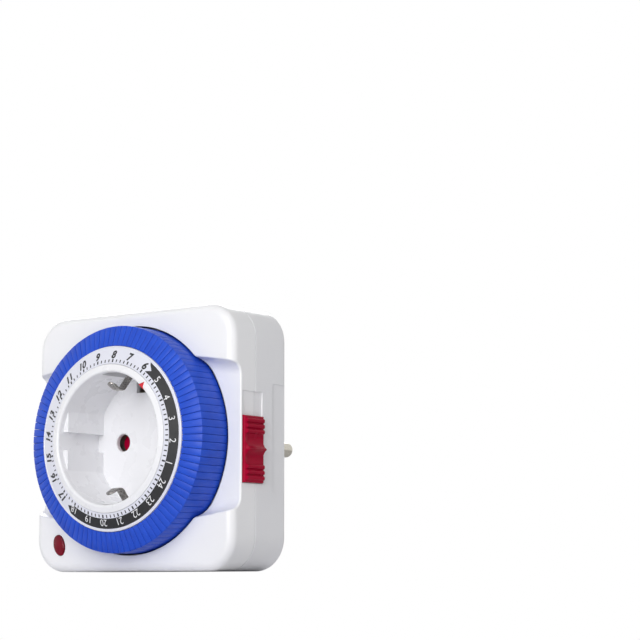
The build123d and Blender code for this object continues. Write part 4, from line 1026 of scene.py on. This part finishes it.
# ------------------------------------------------------------------ switch
@dataclass
class SlideCap:
    """The red slide switch: a cap with rounded grip ribs and a pointed one, its stem and its flange."""

    base: float = 38.5               # X of the cap's foot in its pocket
    top: float = 39.65
    front: float = -41.2
    back: float = -32.2
    low: float = -13.5
    high: float = 5.9
    shoulder: float = 0.6            # rounding along the cap's edges
    ribs: int = 3                    # at each end
    rib_height: float = 0.6
    rib_half: float = 0.66
    rib_pitch: float = 1.6
    rib_end: float = 1.4             # first rib's middle from the cap's end
    # distances from the front and the back edge where the ribs start to rise, and where they are full
    rib_front: tuple[float, float] = (0.3, 0.85)
    rib_back: tuple[float, float] = (0.1, 0.45)
    mark_height: float = 1.4
    mark_half: float = 2.3
    mark_tip: float = 0.12           # how blunt the mark's edge is
    mark_hollow: float = 2.8         # the power that makes its flanks hollow
    dish: float = 0.22               # how far the cap is hollowed between the mark and the ribs
    stem: tuple[float, float, float, float] = (35.25, 38.6, -34.4, -32.2)
    flange: tuple[float, float, float, float] = (35.25, 36.45, -34.4, -29.8)
    stem_half: float = 2.3
    stem_round: float = 0.2          # along the bars of stem and flange, and at their ends
    stem_ease: float = 0.15
    round_steps: int = 5             # points over a shoulder, along the cap and across it
    along_steps: int = 180
    across_steps: int = 40
    crease: float = 40.0

    def relief(self, z: np.ndarray) -> np.ndarray:
        """Height of ribs, mark and dish along the cap.

        Each rib is the upper half of an ellipse. The mark in the middle has hollow flanks: its height follows
        a power of the share of its half width that is left, and its edge is blunt. The dish is a squared
        sine between the mark and the nearest rib.

        Args:
            z: Places along the cap.

        Returns:
            The height over the plain top at each place.
        """
        away = np.abs(z - (self.low + self.high) / 2)
        from_end = np.minimum(z - self.low, self.high - z)
        number = np.clip(np.round((from_end - self.rib_end) / self.rib_pitch), 0, self.ribs - 1)
        beside = (from_end - self.rib_end - number * self.rib_pitch) / self.rib_half
        rib = self.rib_height * np.sqrt(np.clip(1 - beside ** 2, 0, None))
        blunt = np.sqrt(away ** 2 + self.mark_tip ** 2) - self.mark_tip
        mark = self.mark_height * np.clip(1 - blunt / self.mark_half, 0, 1) ** self.mark_hollow
        last_rib = ((self.high - self.low) / 2 - self.rib_end - (self.ribs - 1) * self.rib_pitch
                    - self.rib_half)
        share = np.clip((away - self.mark_half / 2) / (last_rib - self.mark_half / 2), 0, 1)
        return rib + mark - self.dish * np.sin(np.pi * share) ** 2

    def rounding(self, inside: np.ndarray) -> np.ndarray:
        """How far a quarter-round shoulder lies below the top, at a distance inside the cap's edge."""
        short = self.shoulder - np.minimum(inside, self.shoulder)
        return self.shoulder - np.sqrt(np.clip(self.shoulder ** 2 - short ** 2, 0, None))

    def cap(self) -> Shape:
        """The cap's skin.

        Rows run along Z. Each row goes up the front wall, over the shoulder, across the top with the relief
        faded out at both sides, down the back wall and under the foot.

        Returns:
            Corners and faces.
        """
        near = self.shoulder * (1 - np.cos(np.linspace(0, np.pi / 2, self.round_steps)))
        along = np.linspace(self.low + self.shoulder, self.high - self.shoulder, self.along_steps)[1:-1]
        z = np.concatenate([self.low + near, along, self.high - near[::-1]])
        flat = np.linspace(self.front + self.shoulder, self.back - self.shoulder, self.across_steps)[1:-1]
        y = np.concatenate([[self.front], self.front + near, flat, self.back - near[::-1], [self.back]])
        drop = self.rounding(np.minimum(z - self.low, self.high - z))
        side = self.rounding(np.minimum(y - self.front, self.back - y))
        rise = (np.interp(y - self.front, self.rib_front, (0, 1))
                * np.interp(self.back - y, self.rib_back, (0, 1)))
        rise = rise * rise * (3 - 2 * rise)
        x = self.top - np.maximum(drop[:, None], side[None]) + self.relief(z)[:, None] * rise[None]
        x[:, 0], x[:, -1] = self.base, self.base
        points = np.stack([x, np.broadcast_to(y, x.shape), np.broadcast_to(z[:, None], x.shape)], axis=2)
        return points.reshape(-1, 3), capped_tube(*x.shape)

    def bar(self, left: float, right: float, front: float, back: float) -> Shape:
        """A bar along Z with eased edges.

        Args:
            left: X of one side.
            right: X of the other side.
            front: Y of the front.
            back: Y of the back.

        Returns:
            Corners and faces.
        """
        section = ((left, front), (right, front), (right, back), (left, back))
        outline = rounded_outline([(x, y, self.stem_round) for x, y in section])
        middle = np.full(len(outline), (self.low + self.high) / 2)
        return eased_prism(outline, middle - self.stem_half, middle + self.stem_half, self.stem_ease)

    def build(self, paint: Paint) -> None:
        """Make the slide switch and put it in place of its node.

        Args:
            paint: Where the finishes come from.
        """
        shape = joined([self.cap(), self.bar(*self.stem), self.bar(*self.flange)])
        piece = add_piece("slide_cap", shape, "override_slider", paint.get("crimson"), self.crease)
        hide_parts("override_slider")


# ------------------------------------------------------------------ lamp
@dataclass
class LampWindow:
    """The red lens in the lower left corner: a leaning, domed oval with a round flange behind the wall."""

    centre_x: float = -28.55
    centre_z: float = -30.75
    half_width: float = 2.2
    half_height: float = 3.25
    lean: float = 18.0               # degrees that its top leans to the left
    front: float = -46.9
    flange_front: float = -43.9
    back: float = -42.9
    flange_radius: float = 3.6
    edge: float = 0.5
    dome: float = 0.35               # the middle stands this far before the edge
    steps: int = 96                  # points round an oval, from the dome's middle out, and over the edge
    dome_steps: int = 11
    edge_steps: int = 7

    def ovals(self) -> np.ndarray:
        """The ovals over the dome and the quarter-round edge, and then those of the flange.

        The dome falls back by the square of the share of its half width.

        Returns:
            Half width, half height and Y of each oval.
        """
        share = np.linspace(0, 1, self.dome_steps)[1:]
        curve = np.linspace(0, np.pi / 2, self.edge_steps)[1:]
        wide, high = self.half_width - self.edge, self.half_height - self.edge
        dome = np.stack([share * wide, share * high, self.front + self.dome * share ** 2], axis=1)
        out = self.edge * np.sin(curve)
        edge_y = self.front + self.dome + self.edge * (1 - np.cos(curve))
        rim = np.stack([wide + out, high + out, edge_y], axis=1)
        flange = [[self.half_width, self.half_height, self.flange_front],
                  [self.flange_radius, self.flange_radius, self.flange_front],
                  [self.flange_radius, self.flange_radius, self.back]]
        return np.concatenate([dome, rim, flange])

    def lens(self) -> Shape:
        """The lens, as ovals one behind the other, closed by a fan at both ends.

        A point of an oval with half width a and half height b, at turn t, lies a sin t across and b cos t up,
        and then both directions lean together.

        Returns:
            Corners and faces.
        """
        wide, high, depth = self.ovals().T
        turn = np.linspace(0, 2 * np.pi, self.steps, endpoint=False)[:, None]
        across, up = wide * np.sin(turn), high * np.cos(turn)
        sine, cosine = math.sin(math.radians(self.lean)), math.cos(math.radians(self.lean))
        x = self.centre_x + across * cosine - up * sine
        z = self.centre_z + across * sine + up * cosine
        rows = np.stack([x, np.broadcast_to(depth, x.shape), z], axis=2).reshape(-1, 3)
        tips = [[self.centre_x, self.front, self.centre_z], [self.centre_x, self.back, self.centre_z]]
        count = len(depth)
        faces = grid_quads(self.steps, count, True, False)
        around = [(step * count, (step + 1) % self.steps * count) for step in range(self.steps)]
        faces += [[after, here, self.steps * count] for here, after in around]
        faces += [[here + count - 1, after + count - 1, self.steps * count + 1] for here, after in around]
        return np.concatenate([rows, tips]), faces

    def build(self, paint: Paint) -> None:
        """Make the lens and put it in place of its node."""
        piece = add_piece("lens_dome", self.lens(), "housing", paint.get("lens"))
        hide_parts("lamp_lens")


# ------------------------------------------------------------------ carried-over pieces
@dataclass
class CastAndPressedParts:
    """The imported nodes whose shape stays, by finish."""

    finishes: dict[str, tuple[str, ...]] = field(default_factory=lambda: {
        "white": ("front_housing",),
        # the rear shell's finish is the white with painted shade
        "rear": ("rear_housing",),
        "well": ("socket_well",),
        "pointer": ("time_pointer",),
        "crimson": ("safety_shutter",),
        "nylon": ("dial_carrier", "drive_pinion", "clutch_gear", "switch_lever"),
        "filled_nylon": ("mechanism_plate", "contact_carrier"),
        "brass": ("socket_contact_live", "socket_contact_neutral", "neutral_bar", "fixed_blade",
                  "moving_blade", "motor_pinion"),
        "nickel_pin": ("plug_pin_live", "plug_pin_neutral"),
        "zinc": ("housing_screws", "plate_screws", "lever_pivot", "drive_axle", "synchronous_motor"),
        "spring": ("shutter_spring", "detent_spring"),
        "glass": ("neon_lamp",),
        "resistor": ("lamp_resistor",),
    })

    def build(self, paint: Paint) -> None:
        """Dress each node, and report those that nothing dresses or replaces.

        Args:
            paint: Where the finishes come from.
        """
        for finish, nodes in self.finishes.items():
            paint.dress(nodes, finish)
            log.info("%s: %s", finish, ", ".join(nodes))
        dressed = {node for nodes in self.finishes.values() for node in nodes}
        bare = [name for name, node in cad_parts.items() if name not in dressed and not node.hide_render]
        log.info("left bare: %s", bare)


# ------------------------------------------------------------------ studio
@dataclass
class Studio:
    """Pale floor, even white surroundings, four soft lamps and the camera."""

    camera_place: tuple[float, float, float] = (390.6, -479.6, -41.8)
    target: tuple[float, float, float] = (75.18, -53.0, 29.23)
    roll: float = -0.08              # degrees
    focal: float = 109.97
    sensor: float = 36.0
    clip: tuple[float, float] = (0.01, 50.0)         # metres
    world: float = 0.25              # strength of the even light
    floor_half: float = 3000.0
    floor_gap: float = 0.3
    floor_colour: str = "#F6F6F8"
    floor_shade: str = "#F2F2F5"
    floor_mottle: float = 40.0       # width of one blotch
    floor_fade: tuple[float, float] = (0.2, 0.9)     # metres out: where it starts to fade, and is white
    aim: tuple[float, float, float] = (0.0, -40.0, 0.0)
    lamps: tuple[tuple[str, tuple[float, float, float], float, float], ...] = (
        ("key", (320.0, -800.0, 500.0), 550.0, 3.1),
        ("front", (250.0, -1000.0, 120.0), 450.0, 4.0),
        ("side", (900.0, -260.0, 260.0), 700.0, 0.9),
        ("back", (-750.0, 800.0, 600.0), 700.0, 7.0),
    )

    def camera(self) -> None:
        """Aim the camera: it looks along its own -Z, with its X turned by the roll."""
        place, target = Vector(self.camera_place), Vector(self.target)
        forward = (target - place).normalized()
        right = forward.cross(Vector((0, 0, 1))).normalized()
        up = right.cross(forward)
        turn = math.radians(self.roll)
        right, up = (math.cos(turn) * right + math.sin(turn) * up,
                     -math.sin(turn) * right + math.cos(turn) * up)
        data = bpy.data.cameras.new("camera")
        data.lens, data.sensor_width = self.focal, self.sensor
        data.clip_start, data.clip_end = self.clip
        holder = bpy.data.objects.new("camera", data)
        rotation = Matrix((right, up, -forward)).transposed().to_4x4()
        holder.matrix_world = Matrix.Translation(place * MM) @ rotation
        bpy.context.scene.collection.objects.link(holder)
        bpy.context.scene.camera = holder

    def floor_finish(self) -> bpy.types.Material:
        """Pale matt paper that fades to white far away, and can't be seen from below.

        Returns:
            The finished material.
        """
        material, tree, place = new_material("studio_floor_pale")
        distance = add_node(tree, "ShaderNodeVectorMath", {"operation": "LENGTH"},
                            {0: place}).outputs["Value"]
        near, white_from = self.floor_fade
        limits = {"interpolation_type": "SMOOTHSTEP", "From Min": near, "From Max": white_from}
        far = add_node(tree, "ShaderNodeMapRange", limits, {"Value": distance}).outputs["Result"]
        seen = add_node(tree, "ShaderNodeMath", {"operation": "MULTIPLY"}, {0: far, 1: looked_at(tree)})
        mottle = noise(tree, place, self.floor_mottle, detail=3.0)
        colour = blend(tree, mottle, linear(self.floor_colour), linear(self.floor_shade))
        matt = add_node(tree, "ShaderNodeBsdfDiffuse", {}, {"Color": colour})
        white = add_node(tree, "ShaderNodeEmission", {"Color": (1, 1, 1, 1), "Strength": 1.0}, {})
        faded = add_node(tree, "ShaderNodeMixShader", {},
                         {0: seen.outputs[0], 1: matt.outputs["BSDF"], 2: white.outputs["Emission"]})
        clear = add_node(tree, "ShaderNodeBsdfTransparent", {}, {})
        side = add_node(tree, "ShaderNodeNewGeometry", {}, {}).outputs["Backfacing"]
        both = add_node(tree, "ShaderNodeMixShader", {},
                        {0: side, 1: faded.outputs["Shader"], 2: clear.outputs["BSDF"]})
        add_node(tree, "ShaderNodeOutputMaterial", {}, {"Surface": both.outputs["Shader"]})
        return material

    def floor(self) -> None:
        """Lay the floor a paper's thickness under the housing's flat lower side."""
        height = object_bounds()[0].z / MM - self.floor_gap
        half = self.floor_half
        points = np.array([(-half, -half, height), (half, -half, height),
                           (half, half, height), (-half, half, height)])
        mesh = bpy.data.meshes.new("studio_floor")
        mesh.from_pydata((points * MM).tolist(), [], [[0, 1, 2, 3]])
        mesh.materials.append(self.floor_finish())
        floor = bpy.data.objects.new("studio_floor", mesh)
        bpy.context.scene.collection.objects.link(floor)
        floor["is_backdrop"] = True

    def surroundings(self) -> None:
        """Light evenly from all round, and show white behind the object."""
        world = bpy.data.worlds.new("studio_world")
        world.use_nodes = True
        tree = world.node_tree
        tree.nodes.clear()
        lit = add_node(tree, "ShaderNodeBackground", {"Color": (1, 1, 1, 1), "Strength": self.world}, {})
        seen = add_node(tree, "ShaderNodeBackground", {"Color": (1, 1, 1, 1), "Strength": 1.0}, {})
        both = add_node(tree, "ShaderNodeMixShader", {},
                        {0: looked_at(tree), 1: lit.outputs["Background"], 2: seen.outputs["Background"]})
        add_node(tree, "ShaderNodeOutputWorld", {}, {"Surface": both.outputs["Shader"]})
        bpy.context.scene.world = world

    def lamp(self, name: str, place: tuple[float, float, float], size: float, power: float) -> None:
        """Hang one soft square lamp that faces the object.

        Args:
            name: The lamp's name.
            place: Where it hangs.
            size: Length of its side.
            power: Its power in watts.
        """
        data = bpy.data.lights.new(name, "AREA")
        data.size, data.energy = size * MM, power
        holder = bpy.data.objects.new(name, data)
        at = Vector(place) * MM
        aim = (Vector(self.aim) * MM - at).to_track_quat("-Z", "Y")
        holder.matrix_world = Matrix.Translation(at) @ aim.to_matrix().to_4x4()
        bpy.context.scene.collection.objects.link(holder)

    def build(self) -> None:
        """Set up camera, floor, surroundings and lamps."""
        self.camera()
        self.floor()
        self.surroundings()
        for lamp in self.lamps:
            self.lamp(*lamp)
        bpy.context.scene.view_settings.view_transform = "Standard"
        log.info("studio: %d lamps", len(self.lamps))


def main() -> None:
    """Dress the model, piece by piece, and set up the studio."""
    logging.basicConfig(level=logging.INFO, format="%(name)s: %(message)s")
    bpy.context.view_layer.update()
    paint = Paint()
    front = DialFront()
    TappetRing(front).build(paint)
    HourScale(front).build(paint)
    EarthClip(upper=True).build(paint)
    EarthClip(upper=False).build(paint)
    SlideCap().build(paint)
    LampWindow().build(paint)
    CastAndPressedParts().build(paint)
    Studio().build()


if __name__ == "__main__":
    main()
